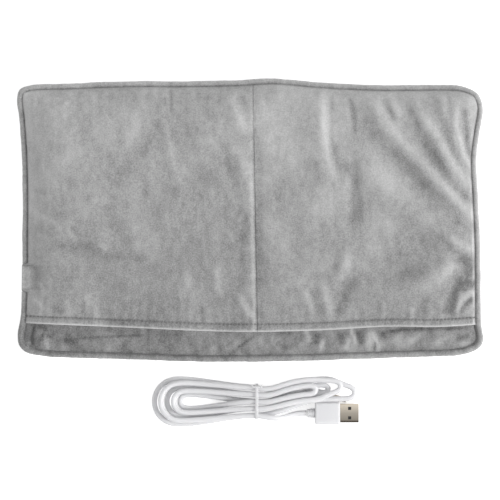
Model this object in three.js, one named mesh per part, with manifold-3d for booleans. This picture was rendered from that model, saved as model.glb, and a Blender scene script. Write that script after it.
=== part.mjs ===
// Heated foot warmer: a flat plush pouch with a warming element sewn into its back, and its
// separate tied USB supply lead. Millimetres, +Z up. The pouch lies on its back on z = 0 with its
// mouth towards -Y, and the origin is under the middle of the pouch.
import * as THREE from 'three';
import { mergeVertices } from 'three/addons/utils/BufferGeometryUtils.js';
import Module from 'manifold-3d';

const wasm = await Module();
wasm.setup();

// Pouch, outside the piping
const pouchWidth = 299.6;
const pouchDepth = 182;
const pipingDiameter = 4.2;
const sewnClearance = 0.3;
const seamLift = 0.5;
const rimReach = 26;
const sewnPower = 2;
const stuffedPower = 4;
const backRimReach = 14;

// Layers of the pouch, from the surface it lies on upwards
const coverThickness = 1;
const liningThickness = 0.8;
const backWaddingThickness = 1.8;
const carrierThickness = 0.4;
const pocketHeight = 4.9;
const frontWaddingThickness = 1.8;
const frontWaddingEase = 0.3;
const frontWaddingStart = 11.5;
const backWaddingCorner = 12;
const crownHeight = 1.5;
const foldHeight = 2.4;
const leastCoverThickness = 0.35;
const foldEndShare = 0.06;
const foldSwellShare = 0.7;
const centreSeamDepth = 0.6;
const centreSeamWidth = 5;

// Hem at the mouth
const hemFoldRadius = 0.8;
const hemFoldDepth = 2;
const hemStitchDistance = 5;
const hemStitchDepth = 0.45;
const hemFillLength = 12;

// Inlet in the left seam
const inletHeightShare = -0.203;
const slotWidth = 15.4;
const slotStep = 0.5;
const inletDiameter = 5.4;
const inletLength = 15;
const inletRecess = 2;
const inletBore = 3.7;
const inletBoreDepth = 10;
const inletPinDiameter = 1.3;
const inletPinLength = 8;
const inletSleeveWall = 0.3;
const inletBootLength = 5;
const inletBootRootDiameter = 4.86;
const inletBootTipDiameter = 3.8;

// Warming element
const carrierWidthShare = 0.774;
const carrierDepthShare = 0.703;
const carrierCentreShare = 0.038;
const wireDiameter = 1.4;
const wireRuns = 8;
const wireSideMargin = 18;
const wireEndMargin = 11.5;
const leadDiameter = 1.4;
const leadSpacing = 2.2;
const spliceDiameter = 2.4;
const spliceLength = 9;
const returnLeadMargin = 3;
const cutoutLength = 12;
const cutoutWidth = 4.6;
const cutoutThickness = 2.1;
const cutoutRise = 25;

// Supply lead, tied into a hank in front of the mouth
const leadOuterDiameter = 3.5;
const hankX = 4.2;
const hankY = -116.3;
const strandStep = 4.5;
const layerStep = 4.4;
const hankLeftReach = 66;
const leftLoopRadius = 14.6;
const leftRadiusStep = 2.5;
const leftReachStep = 4;
const leftLoopY = -0.3;
// Right-hand loops in the order of the lead: the outer loops swing wide of the inner ones, then close in
const rightLoops = [
  { x: 59.6, y: 5.7, radius: 4, wide: [1.55, 14.55] },
  { x: 44, y: 8.05, radius: 2.8, wide: [5.25, 10.85] },
  { x: 36, y: 7.6, radius: 2.8, wide: [4.8, 10.4] },
  { x: 51, y: 9.8, radius: 3.6, wide: [1.1, 14.1] },
];
const rightCloseIn = 13.5;
const lowerDrawIn = 44;
const upperDrawIn = 36;
const pinchShare = 0.1;
const pinchX = 10;
const pinchWidth = 9;
const hankLift = 7.4;
const liftStartX = -44;
const liftEndX = 21;
const tieLift = 0.9;
const usbTailBulge = 2.5;

// Tie round the waist of the hank
const tieWidth = 2.1;
const tieThickness = 0.5;
const tieTwistLength = 6.4;
const tieTwistDiameter = 1.9;

// USB plug
const usbX = 36.5;
const usbY = -123.9;
const usbOvermoldLength = 15.7;
const usbOvermoldWidth = 14.9;
const usbOvermoldHeight = 8;
const usbOvermoldCorner = 2.6;
const usbOvermoldEdge = 1.4;
const usbShellLength = 11.8;
const usbShellWidth = 12;
const usbShellHeight = 4.5;
const usbShellWall = 0.3;
const usbShellCorner = 0.6;
const usbWindow = 2;
const usbWindowSpacing = 6.1;
const usbWindowX = 6;
const usbTongueHeight = 1.8;
const usbTongueLength = 10.6;
const usbContactWidth = 1;
const usbContactHeight = 0.25;
const usbContactPitchOuter = 7;
const usbContactPitchInner = 2;
const usbReliefLength = 5;
const usbReliefDiameter = 5.4;

// Barrel plug for the inlet
const barrelTipX = 61.6;
const barrelTipY = -115.6;
const barrelTurn = THREE.MathUtils.degToRad(-14);
const barrelDiameter = 3.5;
const barrelBore = 1.35;
const barrelWall = 0.35;
const barrelLength = 9.5;
const barrelInsulatorSetBack = 0.4;
const barrelGripDiameter = 5.8;
const barrelGripLength = 17;
const barrelGripCorner = 1;
const barrelReliefLength = 8;
const barrelReliefTipDiameter = 4.2;

// General
const faceGap = 0.3;
const cutOverrun = 1;
const cornerSegments = 4;
const smallCornerSegments = 3;
const edgeSegments = 2;
const tubeSides = 6;
const smallSides = 8;
const coneSides = 12;
const roundSides = 16;


// Places and heights that follow from the sizes
const halfWidth = pouchWidth / 2;
const halfDepth = pouchDepth / 2;
const inletY = inletHeightShare * pouchDepth;
const elementSpace = spliceDiameter + 3 * sewnClearance;
const carrierWidth = carrierWidthShare * pouchWidth;
const carrierDepth = carrierDepthShare * pouchDepth;
const carrierCentreY = carrierCentreShare * pouchDepth;
const wireRunLength = carrierWidth - 2 * wireSideMargin;
const wirePitch = (carrierDepth - 2 * wireEndMargin) / (wireRuns - 1);
const returnLeadX = returnLeadMargin - carrierWidth / 2;
const cutoutY = inletY + cutoutRise;
const panelInset = pipingDiameter + sewnClearance;
const backWaddingBottom = coverThickness + sewnClearance;
const carrierBottom = backWaddingBottom + backWaddingThickness + sewnClearance;
const elementBottom = carrierBottom + carrierThickness + sewnClearance;
const backLiningInside = carrierBottom + carrierThickness + elementSpace;
const backLiningSeam = seamLift + coverThickness + sewnClearance;
const frontLiningInside = backLiningInside + liningThickness + pocketHeight;
const frontLiningSeam = backLiningSeam + liningThickness + sewnClearance;
const coverSeamTop = frontLiningSeam + liningThickness + sewnClearance + coverThickness;
const pipingZ = (seamLift + coverSeamTop) / 2;
const inletZ = seamLift + coverThickness + sewnClearance + inletDiameter / 2;
const slotRoof = inletZ + inletDiameter / 2 + sewnClearance;

// Outline of the pouch, clockwise from the top left corner, as shares of its half width and depth
const outlineShares = [
  [-1, 0.863], [-0.988, 0.923], [-0.939, 0.953], [-0.808, 0.962], [-0.52, 0.98], [-0.28, 0.98],
  [-0.044, 0.989], [0.106, 1], [0.261, 0.977], [0.428, 0.96], [0.574, 0.952], [0.849, 0.953],
  [0.918, 0.941], [0.973, 0.895], [0.996, 0.799], [0.984, 0.637], [0.967, 0.425], [0.973, 0.142],
  [0.983, -0.211], [0.986, -0.565], [0.991, -0.741], [1, -0.847], [0.978, -0.907],
  [0.905, -0.951], [0.772, -0.964], [0.458, -0.981], [0.188, -0.996], [-0.211, -1],
  [-0.52, -0.984], [-0.752, -0.973], [-0.894, -0.96], [-0.958, -0.936], [-0.99, -0.883],
  [-0.997, -0.812], [-0.986, -0.692], [-0.979, -0.487], [-0.977, -0.141], [-0.976, 0.213],
  [-0.981, 0.495], [-0.991, 0.722],
];
const spanSamples = 10;

// Edge of the front panel's hem, and the ends of the seam up its middle, in the same shares
const hemShares = [
  [-0.97, -0.727], [-0.516, -0.757], [-0.211, -0.78], [0.029, -0.787], [0.304, -0.776],
  [0.596, -0.75], [0.797, -0.753], [0.975, -0.738],
];
const seamTopShare = 0.012;
const seamFootShare = 0.031;

// Main folds of the front: the points that each passes, in the shares above, then its width as a
// share of half the width, and its height as a share of the fold height, under 0 for a hollow
const foldShares = [
  { line: [[0.28, 0.92], [0.28, 0.67], [0.29, 0.5], [0.31, 0.37]], width: 0.057, height: 1.1 },
  { line: [[0.44, 0.44], [0.44, 0.3], [0.45, 0.13], [0.46, 0]], width: 0.025, height: -0.65 },
  { line: [[0.49, 0.44], [0.49, 0.32], [0.5, 0.18]], width: 0.047, height: 0.5 },
  { line: [[0.45, 0.55], [0.52, 0.32], [0.61, 0.15], [0.69, 0.02], [0.76, -0.1]], width: 0.05, height: 1.2 },
  { line: [[0.46, 0.64], [0.55, 0.46], [0.65, 0.3], [0.76, 0.15], [0.87, 0]], width: 0.033, height: -0.8 },
  { line: [[0.51, 0.8], [0.6, 0.58], [0.7, 0.41], [0.8, 0.24], [0.94, 0]], width: 0.033, height: 1.3 },
  { line: [[0.64, 0.76], [0.71, 0.55], [0.77, 0.39], [0.87, 0.2], [0.95, 0.07]],
    width: 0.025, height: -0.65 },
  { line: [[0.68, 0.81], [0.76, 0.61], [0.81, 0.47], [0.86, 0.33], [0.94, 0.16]], width: 0.028, height: 1.2 },
  { line: [[0.86, 0.68], [0.88, 0.53], [0.91, 0.39], [0.93, 0.27]], width: 0.025, height: 1 },
  { line: [[0.52, -0.59], [0.6, -0.47], [0.72, -0.4], [0.82, -0.32], [0.87, -0.25]],
    width: 0.06, height: 1.25 },
  { line: [[0.89, -0.29], [0.87, -0.45], [0.85, -0.65]], width: 0.025, height: -1.2 },
  { line: [[0.87, -0.62], [0.89, -0.54], [0.95, -0.49]], width: 0.025, height: 0.7 },
  { line: [[0.4, -0.21], [0.38, -0.34], [0.35, -0.45]], width: 0.025, height: 0.8 },
  { line: [[0.39, -0.45], [0.37, -0.54], [0.35, -0.67]], width: 0.025, height: -0.8 },
  { line: [[0.3, -0.43], [0.31, -0.54], [0.32, -0.67]], width: 0.025, height: 0.8 },
  { line: [[-0.06, -0.54], [-0.01, -0.67]], width: 0.025, height: 0.7 },
];

// Grid lines near an edge, as shares of the rim's reach, and the ones inside: closer together where
// the sides are folded
const rimShares = [0, 0.045, 0.135, 0.27, 0.46, 0.7, 1];
const foldedColumns = 7;
const foldedReachShare = 0.485;
const plainColumns = 7;
const insideRows = 12;

function fabric(hex, roughness = 0.95) {
  return new THREE.MeshStandardMaterial({ color: hex, roughness, metalness: 0 });
}

function plastic(hex, roughness = 0.45) {
  return new THREE.MeshStandardMaterial({ color: hex, roughness, metalness: 0 });
}

function metal(hex, roughness = 0.35) {
  return new THREE.MeshStandardMaterial({ color: hex, roughness, metalness: 1 });
}

const plushGrey = 0xa6a6a6;
const liningGrey = 0x8f8f8f;
const waddingWhite = 0xe6e6e2;
const feltWhite = 0xd8d6cf;
const wireRed = 0xa8352e;
const leadWhite = 0xe9e9eb;
const steelGrey = 0x96918a;
const contactGold = 0xc9a24a;
const insulatorBlack = 0x1c1c1e;

const part = new THREE.Group();

function addPiece(name, geometry, material) {
  const mesh = new THREE.Mesh(geometry, material);
  mesh.name = name;
  part.add(mesh);
  return mesh;
}

// Solids and cuts

function solidOf(geometry) {
  const bare = geometry.clone();
  bare.deleteAttribute('normal');
  bare.deleteAttribute('uv');
  const merged = mergeVertices(bare, 1e-4);
  return new wasm.Manifold(new wasm.Mesh({
    numProp: 3,
    vertProperties: new Float32Array(merged.attributes.position.array),
    triVerts: new Uint32Array(merged.index.array),
  }));
}

function geometryOf(solid) {
  const mesh = solid.getMesh();
  const geometry = new THREE.BufferGeometry();
  geometry.setAttribute('position', new THREE.BufferAttribute(mesh.vertProperties, 3));
  geometry.setIndex(new THREE.BufferAttribute(mesh.triVerts, 1));
  geometry.computeVertexNormals();
  return geometry;
}

function cut(geometry, ...cutters) {
  return geometryOf(cutters.reduce((solid, cutter) => solid.subtract(solidOf(cutter)), solidOf(geometry)));
}

function join(...geometries) {
  const [first, ...others] = geometries.map(solidOf);
  return geometryOf(others.reduce((solid, other) => solid.add(other), first));
}

function box(low, high) {
  const size = high.map((value, axis) => value - low[axis]);
  const centre = high.map((value, axis) => (value + low[axis]) / 2);
  return new THREE.BoxGeometry(...size).translate(...centre);
}

function facesGeometry(vertices, triangles) {
  const geometry = new THREE.BufferGeometry();
  geometry.setAttribute('position', new THREE.Float32BufferAttribute(vertices.flat(), 3));
  geometry.setIndex(triangles.flat());
  geometry.computeVertexNormals();
  return geometry;
}

// A solid turned about the X axis: its profile is a closed list of [x, radius]
function turned(profile, segments) {
  const points = profile.map(([x, radius]) => new THREE.Vector2(radius, x));
  return new THREE.LatheGeometry(points, segments).rotateZ(-Math.PI / 2);
}

// A box along X with its four long edges rounded
function roundedBar(length, width, height, corner, segments) {
  return new THREE.ExtrudeGeometry(roundedOutline(width, height, corner), {
    depth: length, bevelEnabled: false, curveSegments: segments,
  }).rotateY(Math.PI / 2).rotateX(Math.PI / 2);
}

function roundedOutline(width, height, corner) {
  const shape = new THREE.Shape();
  const x = width / 2;
  const y = height / 2;
  shape.moveTo(-x + corner, -y);
  shape.lineTo(x - corner, -y);
  shape.absarc(x - corner, -y + corner, corner, -Math.PI / 2, 0, false);
  shape.lineTo(x, y - corner);
  shape.absarc(x - corner, y - corner, corner, 0, Math.PI / 2, false);
  shape.lineTo(-x + corner, y);
  shape.absarc(-x + corner, y - corner, corner, Math.PI / 2, Math.PI, false);
  shape.lineTo(-x, -y + corner);
  shape.absarc(-x + corner, -y + corner, corner, Math.PI, 1.5 * Math.PI, false);
  return shape;
}

// A closed tube through points, with a flat side down; floor cuts it flat at z = 0
function tubeThrough(points, radius, sides, floor = false) {
  const up = new THREE.Vector3(0, 0, 1);
  const vertices = [];
  points.forEach((point, index) => {
    const before = points[Math.max(index - 1, 0)];
    const after = points[Math.min(index + 1, points.length - 1)];
    const ahead = after.clone().sub(before).normalize();
    const across = new THREE.Vector3().crossVectors(ahead, up).normalize();
    const over = new THREE.Vector3().crossVectors(across, ahead);
    for (let side = 0; side < sides; side += 1) {
      const angle = (2 * Math.PI * (side + 0.5)) / sides + Math.PI / 2;
      const spot = point.clone()
        .addScaledVector(across, radius * Math.cos(angle))
        .addScaledVector(over, radius * Math.sin(angle));
      vertices.push([spot.x, spot.y, floor ? Math.max(spot.z, 0) : spot.z]);
    }
  });
  const triangles = [];
  for (let ring = 0; ring + 1 < points.length; ring += 1) {
    for (let side = 0; side < sides; side += 1) {
      const a = ring * sides + side;
      const b = ring * sides + ((side + 1) % sides);
      triangles.push([a, b + sides, b], [a, a + sides, b + sides]);
    }
  }
  const last = (points.length - 1) * sides;
  for (let side = 1; side + 1 < sides; side += 1) {
    triangles.push([0, side, side + 1], [last, last + side + 1, last + side]);
  }
  return facesGeometry(vertices, triangles);
}

const bulge = (share, power) => (share < 1 ? 1 - (1 - share) ** power : 1);
const ease = (share) => THREE.MathUtils.smoothstep(share, 0, 1);

// Outline curves of the pouch

const outlineCurve = new THREE.CatmullRomCurve3(
  outlineShares.map(([x, y]) => new THREE.Vector3(x * halfWidth, y * halfDepth, 0)), true, 'centripetal',
);

function outlineLoop(inset) {
  const count = outlineShares.length * spanSamples;
  return Array.from({ length: count }, (_, index) => {
    const share = index / count;
    const ahead = outlineCurve.getTangent(share);
    const point = outlineCurve.getPoint(share);
    return new THREE.Vector2(point.x + ahead.y * inset, point.y - ahead.x * inset);
  });
}

// The outline point that reaches furthest towards a corner
function cornerOf(towardsX, towardsY) {
  const reach = outlineShares.map(([x, y]) => towardsX * x + towardsY * y);
  return reach.indexOf(Math.max(...reach)) * spanSamples;
}

function sideOf(loop, start, end) {
  const count = (end - start + loop.length) % loop.length;
  return Array.from({ length: count + 1 }, (_, index) => loop[(start + index) % loop.length]);
}

// Splits a line where its coordinate on the axis passes the value
function splitLine(line, axis, value) {
  const rising = line[line.length - 1][axis] > line[0][axis];
  const next = line.findIndex((point) => (rising ? point[axis] >= value : point[axis] <= value));
  const a = line[next - 1];
  const b = line[next];
  const middle = a.clone().lerp(b, (value - a[axis]) / (b[axis] - a[axis]));
  return [[...line.slice(0, next), middle], [middle, ...line.slice(next)]];
}

function alongLine(line) {
  const lengths = [0];
  for (let index = 1; index < line.length; index += 1) {
    lengths.push(lengths[index - 1] + line[index].distanceTo(line[index - 1]));
  }
  const whole = lengths[lengths.length - 1];
  return (share) => {
    const wanted = share * whole;
    let index = 1;
    while (index < lengths.length - 1 && lengths[index] < wanted) index += 1;
    const part = (wanted - lengths[index - 1]) / (lengths[index] - lengths[index - 1]);
    return line[index - 1].clone().lerp(line[index], part);
  };
}

// A patch filled between its four edge lines
function patch(bottomLine, topLine, leftLine, rightLine) {
  const [bottom, top, left, right] = [bottomLine, topLine, leftLine, rightLine].map(alongLine);
  return (a, b) => {
    const point = bottom(a).multiplyScalar(1 - b).addScaledVector(top(a), b);
    point.addScaledVector(left(b), 1 - a).addScaledVector(right(b), a);
    point.addScaledVector(bottom(0), -(1 - a) * (1 - b)).addScaledVector(bottom(1), -a * (1 - b));
    return point.addScaledVector(top(0), -(1 - a) * b).addScaledVector(top(1), -a * b);
  };
}

const panelLoop = outlineLoop(panelInset);
const topEdge = sideOf(panelLoop, cornerOf(-1, 1), cornerOf(1, 1));
const rightEdge = sideOf(panelLoop, cornerOf(1, 1), cornerOf(1, -1)).reverse();
const bottomEdge = sideOf(panelLoop, cornerOf(1, -1), cornerOf(-1, -1)).reverse();
const leftEdge = sideOf(panelLoop, cornerOf(-1, -1), cornerOf(-1, 1));
const [lipLeft, frontLeft] = splitLine(leftEdge, 'y', hemShares[0][1] * halfDepth);
const [lipRight, frontRight] = splitLine(rightEdge, 'y', hemShares[hemShares.length - 1][1] * halfDepth);
const hemLine = new THREE.CatmullRomCurve3([
  frontLeft[0],
  ...hemShares.slice(1, -1).map(([x, y]) => ({ x: x * halfWidth, y: y * halfDepth })),
  frontRight[0],
].map(({ x, y }) => new THREE.Vector3(x, y, 0))).getPoints(hemShares.length * spanSamples)
  .map(({ x, y }) => new THREE.Vector2(x, y));
const [topLeftEdge, topRightEdge] = splitLine(topEdge, 'x', seamTopShare * halfWidth);
const [hemLeft, hemRight] = splitLine(hemLine, 'x', seamFootShare * halfWidth);
const [bottomLeftEdge, bottomRightEdge] = splitLine(bottomEdge, 'x', seamFootShare * halfWidth);
const centreSeam = [hemRight[0], topRightEdge[0]];
const lipSeam = [bottomRightEdge[0], hemRight[0]];

const frontPatches = [
  patch(hemLeft, topLeftEdge, frontLeft, centreSeam),
  patch(hemRight, topRightEdge, centreSeam, frontRight),
];
const lipPatches = [
  patch(bottomLeftEdge, hemLeft, lipLeft, lipSeam),
  patch(bottomRightEdge, hemRight, lipSeam, lipRight),
];

// Grid lines of the pouch: columns run from the left seam to the right one, rows from the lip up
const halfPanel = halfWidth - panelInset;
const frontDepth = topRightEdge[0].y - hemRight[0].y;
const lipDepth = hemRight[0].y - bottomRightEdge[0].y;

function rimDistances(reach) {
  return rimShares.map((share) => share * reach);
}

function evenBetween(start, end, count) {
  return Array.from({ length: count - 1 }, (_, index) => start + ((index + 1) * (end - start)) / count);
}

const foldedReach = foldedReachShare * halfPanel;
const sideDistances = [
  ...rimDistances(rimReach), ...evenBetween(rimReach, foldedReach, foldedColumns), foldedReach,
  ...evenBetween(foldedReach, halfPanel, plainColumns), halfPanel,
];
const columns = [
  ...sideDistances.map((distance) => ({ half: 0, a: distance / halfPanel, distance })),
  ...sideDistances.toReversed().map((distance) => ({ half: 1, a: 1 - distance / halfPanel, distance })),
];
const seamColumn = sideDistances.length - 1;

const hemDistances = [
  0, hemFoldRadius, hemFoldDepth, hemFoldDepth + sewnClearance, hemFoldDepth + 3 * sewnClearance,
  hemStitchDistance, hemStitchDistance + hemFoldDepth,
];
const leftDepth = frontLeft[frontLeft.length - 1].y - frontLeft[0].y;
const slotDistances = [-1, 1].flatMap((side) => {
  const edge = inletY - frontLeft[0].y + (side * slotWidth) / 2;
  return [edge - slotStep / 2, edge + slotStep / 2];
}).map((distance) => (distance * frontDepth) / leftDepth);
const plainDistances = evenBetween(hemStitchDistance + hemFoldDepth, frontDepth - rimReach, insideRows)
  .filter((distance) => slotDistances.every((edge) => Math.abs(edge - distance) > slotStep));
const insideDistances = [...plainDistances, ...slotDistances].sort((a, b) => a - b);
const topDistances = rimDistances(rimReach).reverse();
const lipDistances = rimDistances(lipDepth).slice(0, -1);
const rows = [
  ...lipDistances.map((foot) => ({ lip: true, b: foot / lipDepth, hem: 0, top: frontDepth, foot })),
  ...[...hemDistances, ...insideDistances].map((hem) => (
    { lip: false, b: hem / frontDepth, hem, top: frontDepth - hem, foot: lipDepth + hem })),
  ...topDistances.map((top) => (
    { lip: false, b: 1 - top / frontDepth, hem: frontDepth - top, top, foot: lipDepth + frontDepth })),
];
const hemRow = lipDistances.length;
const hemInsideRow = hemRow + hemDistances.length - 1;
const topRimRow = rows.length - rimShares.length;
const lastRow = rows.length - 1;
const lastColumn = columns.length - 1;

function inSlot(row) {
  const distance = rows[row].hem;
  const [low, high] = [slotDistances[0] + slotStep / 4, slotDistances[3] - slotStep / 4];
  return !rows[row].lip && distance > low && distance < high;
}

function spotAt(column, row) {
  const { half, a } = columns[column];
  const { lip, b } = rows[row];
  const point = (lip ? lipPatches : frontPatches)[half](a, b);
  const atInlet = column === 0 && inSlot(row);
  if (atInlet) point.x -= pipingDiameter;
  return point;
}

const spots = columns.map((_, column) => rows.map((__, row) => spotAt(column, row)));

// How full the pouch is at a grid point: 0 at the seam and 1 inside it
function fullness(column, row, reach, footed, power = sewnPower) {
  const top = bulge(rows[row].top / reach, power);
  const foot = footed ? bulge(rows[row].foot / reach, power) : 1;
  return bulge(columns[column].distance / reach, power) * top * foot;
}

function backLiningBottom(column, row) {
  return THREE.MathUtils.lerp(backLiningSeam, backLiningInside, fullness(column, row, rimReach, true));
}

function frontLiningBottom(column, row) {
  return THREE.MathUtils.lerp(frontLiningSeam, frontLiningInside, fullness(column, row, rimReach, false));
}

function waddingShare(column, row) {
  const hem = bulge(Math.max(rows[row].hem - hemStitchDistance, 0) / hemFillLength, stuffedPower);
  return fullness(column, row, rimReach, false, stuffedPower) * hem;
}

function crownAt(column, row) {
  const across = columns[column].distance / halfPanel;
  const up = rows[row].hem / frontDepth;
  return crownHeight * Math.sin(Math.PI * across) * Math.sin(Math.PI * up);
}

function slotLift(column, row) {
  const point = spots[column][row];
  const away = Math.abs(point.y - inletY) - inletDiameter;
  const near = 1 - ease(Math.max(away, 0) / (slotWidth / 2));
  return columns[column].half === 0 && columns[column].distance < rimReach ? slotRoof * near : 0;
}

function frontCoverBottom(column, row) {
  const room = frontWaddingThickness + sewnClearance + crownAt(column, row);
  const liningTop = frontLiningBottom(column, row) + liningThickness + sewnClearance;
  const laid = liningTop + room * waddingShare(column, row);
  return Math.max(laid, slotLift(column, row));
}

const folds = foldShares.map(({ line, width, height }) => ({
  points: line.map(([x, y]) => new THREE.Vector2(x * halfWidth, y * halfDepth)),
  width: width * halfWidth,
  height: height * foldHeight,
}));

// Height of one fold: a bell curve of the distance from its line, half a sine along it
function foldAt(point, { points, width, height }) {
  let nearest = { away: Infinity, share: 0 };
  points.slice(1).forEach((end, index) => {
    const run = end.clone().sub(points[index]);
    const offset = point.clone().sub(points[index]);
    const share = THREE.MathUtils.clamp(offset.dot(run) / run.lengthSq(), 0, 1);
    const away = offset.addScaledVector(run, -share).length() / width;
    if (away < nearest.away) nearest = { away, share: (index + share) / (points.length - 1) };
  });
  const along = foldEndShare + (1 - 2 * foldEndShare) * nearest.share;
  return height * Math.sin(Math.PI * along) ** foldSwellShare * Math.exp(-(nearest.away ** 2));
}

function frontCoverTop(column, row) {
  const bottom = frontCoverBottom(column, row);
  const seamAway = (halfPanel - columns[column].distance) / centreSeamWidth;
  const seam = centreSeamDepth * Math.exp(-seamAway * seamAway);
  const stitch = rows[row].hem === hemStitchDistance ? hemStitchDepth : 0;
  const folded = folds.reduce((sum, fold) => sum + foldAt(spots[column][row], fold), 0);
  const shape = folded * waddingShare(column, row) - seam - stitch;
  return bottom + Math.max(coverThickness + shape, leastCoverThickness);
}

// A sheet between two height functions over some of the grid's columns and rows
function sheet(columnList, rowList, topAt, bottomAt, shift = () => 0) {
  const width = columnList.length;
  const depth = rowList.length;
  const layer = (heightAt) => rowList.flatMap((row) => columnList.map((column) => {
    const spot = spots[column][row];
    return [spot.x + shift(column), spot.y, heightAt(column, row)];
  }));
  const vertices = [...layer(topAt), ...layer(bottomAt)];
  const under = width * depth;
  const triangles = [];
  for (let j = 0; j + 1 < depth; j += 1) {
    for (let i = 0; i + 1 < width; i += 1) {
      const a = j * width + i;
      triangles.push([a, a + 1, a + width + 1], [a, a + width + 1, a + width]);
      triangles.push([under + a, under + a + width + 1, under + a + 1]);
      triangles.push([under + a, under + a + width, under + a + width + 1]);
    }
  }
  const wall = (a, b) => triangles.push([a, under + a, under + b], [a, under + b, b]);
  for (let i = 0; i + 1 < width; i += 1) {
    wall(i, i + 1);
    wall((depth - 1) * width + i + 1, (depth - 1) * width + i);
  }
  for (let j = 0; j + 1 < depth; j += 1) {
    wall((j + 1) * width, j * width);
    wall(j * width + width - 1, (j + 1) * width + width - 1);
  }
  return facesGeometry(vertices, triangles);
}

function range(first, last, step = 1) {
  const list = [];
  for (let index = first; index < last; index += step) list.push(index);
  return [...list, last];
}

// Every other line of the grid
const rimLines = rimShares.length - 1;
const slotRows = range(hemRow, lastRow).filter((row) => slotDistances.includes(rows[row].hem));
const insideSteps = 2;
const backColumns = [
  ...range(0, rimLines, 2), ...range(rimLines, seamColumn, insideSteps).slice(1),
  ...range(seamColumn + 1, lastColumn - rimLines, insideSteps).slice(1),
  ...range(lastColumn - rimLines, lastColumn, 2).slice(1),
];
const topRows = range(topRimRow, lastRow, 2);
const insideCoarse = [...new Set([...range(hemInsideRow, topRimRow, insideSteps), ...slotRows])]
  .sort((a, b) => a - b);
const backRows = [...range(0, hemRow, 2), ...insideCoarse, ...topRows.slice(1)];

// Pouch

function addBackLayers() {
  const bottom = (column, row) => seamLift * (1 - fullness(column, row, backRimReach, true));
  const top = (column, row) => bottom(column, row) + coverThickness;
  addPiece('back_cover', sheet(backColumns, backRows, top, bottom), fabric(plushGrey));

  const [low, high] = [spots[0][0], spots[lastColumn][lastRow]];
  const width = high.x - low.x - 2 * backWaddingCorner;
  const depth = high.y - low.y - 2 * backWaddingCorner;
  const wadding = new THREE.ExtrudeGeometry(
    roundedOutline(width, depth, backWaddingCorner),
    { depth: backWaddingThickness, bevelEnabled: false, curveSegments: cornerSegments },
  ).translate((low.x + high.x) / 2, (low.y + high.y) / 2, backWaddingBottom);
  addPiece('back_wadding', cut(wadding, inletNotch()), fabric(waddingWhite));

  const lining = sheet(
    backColumns, backRows, (column, row) => backLiningBottom(column, row) + liningThickness, backLiningBottom,
  );
  addPiece('back_lining', cut(lining, inletNotch()), fabric(liningGrey));
}

const inletMouthX = spots[0][slotRows[1]].x + inletRecess;
const inletEndX = inletMouthX + inletLength;

function inletNotch() {
  const reach = inletDiameter / 2 + faceGap;
  return box(
    [inletMouthX - inletRecess - cutOverrun, inletY - reach, 0],
    [inletEndX + inletBootLength + 2 * faceGap, inletY + reach, slotRoof],
  );
}

function addFrontLayers() {
  const startRow = hemRow + hemDistances.indexOf(hemFoldDepth + 3 * sewnClearance);
  const liningRows = [startRow, startRow + 1, ...insideCoarse, ...topRows.slice(1)];
  const top = (column, row) => frontLiningBottom(column, row) + liningThickness;
  const lining = sheet(backColumns, liningRows, top, frontLiningBottom);
  addPiece('front_lining', cut(lining, inletNotch()), fabric(liningGrey));

  const waddingColumns = backColumns.filter((column) => columns[column].distance >= frontWaddingStart);
  const waddingRows = [...insideCoarse.slice(1), ...topRows.slice(1)]
    .filter((row) => rows[row].top >= frontWaddingStart);
  const wadding = sheet(
    waddingColumns, waddingRows,
    (column, row) => frontCoverBottom(column, row) - sewnClearance - frontWaddingEase,
    (column, row) => frontLiningBottom(column, row) + liningThickness + sewnClearance,
  );
  addPiece('front_wadding', wadding, fabric(waddingWhite));

  // The cover turns down over the edge of the lining at the hem and closes it
  const foldRow = hemRow + hemDistances.indexOf(hemFoldDepth);
  const coverBottom = (column, row) => {
    if (row === hemRow) return frontLiningBottom(column, row) + hemFoldRadius / 2;
    return row <= foldRow ? frontLiningBottom(column, row) : frontCoverBottom(column, row);
  };
  const coverTop = (column, row) => frontCoverTop(column, row) - (row === hemRow ? hemFoldRadius / 2 : 0);
  const half = sewnClearance / 2;
  const frontRows = range(hemRow, lastRow);
  addPiece(
    'front_cover_left',
    sheet(range(0, seamColumn), frontRows, coverTop, coverBottom,
      (column) => (column === seamColumn ? -half : 0)),
    fabric(plushGrey),
  );
  addPiece(
    'front_cover_right',
    sheet(range(seamColumn + 1, lastColumn), frontRows, coverTop, coverBottom,
      (column) => (column === seamColumn + 1 ? half : 0)),
    fabric(plushGrey),
  );
}

// One run of piping round the pouch, open at the inlet
function addPiping() {
  const loop = outlineLoop(pipingDiameter / 2);
  const slotTop = inletY + slotWidth / 2;
  const start = loop.findIndex(({ x, y }, index) => (
    x < 0 && y > slotTop && loop[(index - 1 + loop.length) % loop.length].y <= slotTop));
  const run = Array.from({ length: loop.length }, (_, index) => loop[(start + index) % loop.length]);
  const outside = run.filter(({ x, y }) => x > 0 || Math.abs(y - inletY) > slotWidth / 2 + slotStep);
  const stride = 3;
  const kept = outside.filter((_, index) => index % stride === 0 || index === outside.length - 1);
  addPiece(
    'edge_piping',
    tubeThrough(kept.map(({ x, y }) => new THREE.Vector3(x, y, pipingZ)), pipingDiameter / 2, tubeSides),
    fabric(plushGrey),
  );
}

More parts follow.
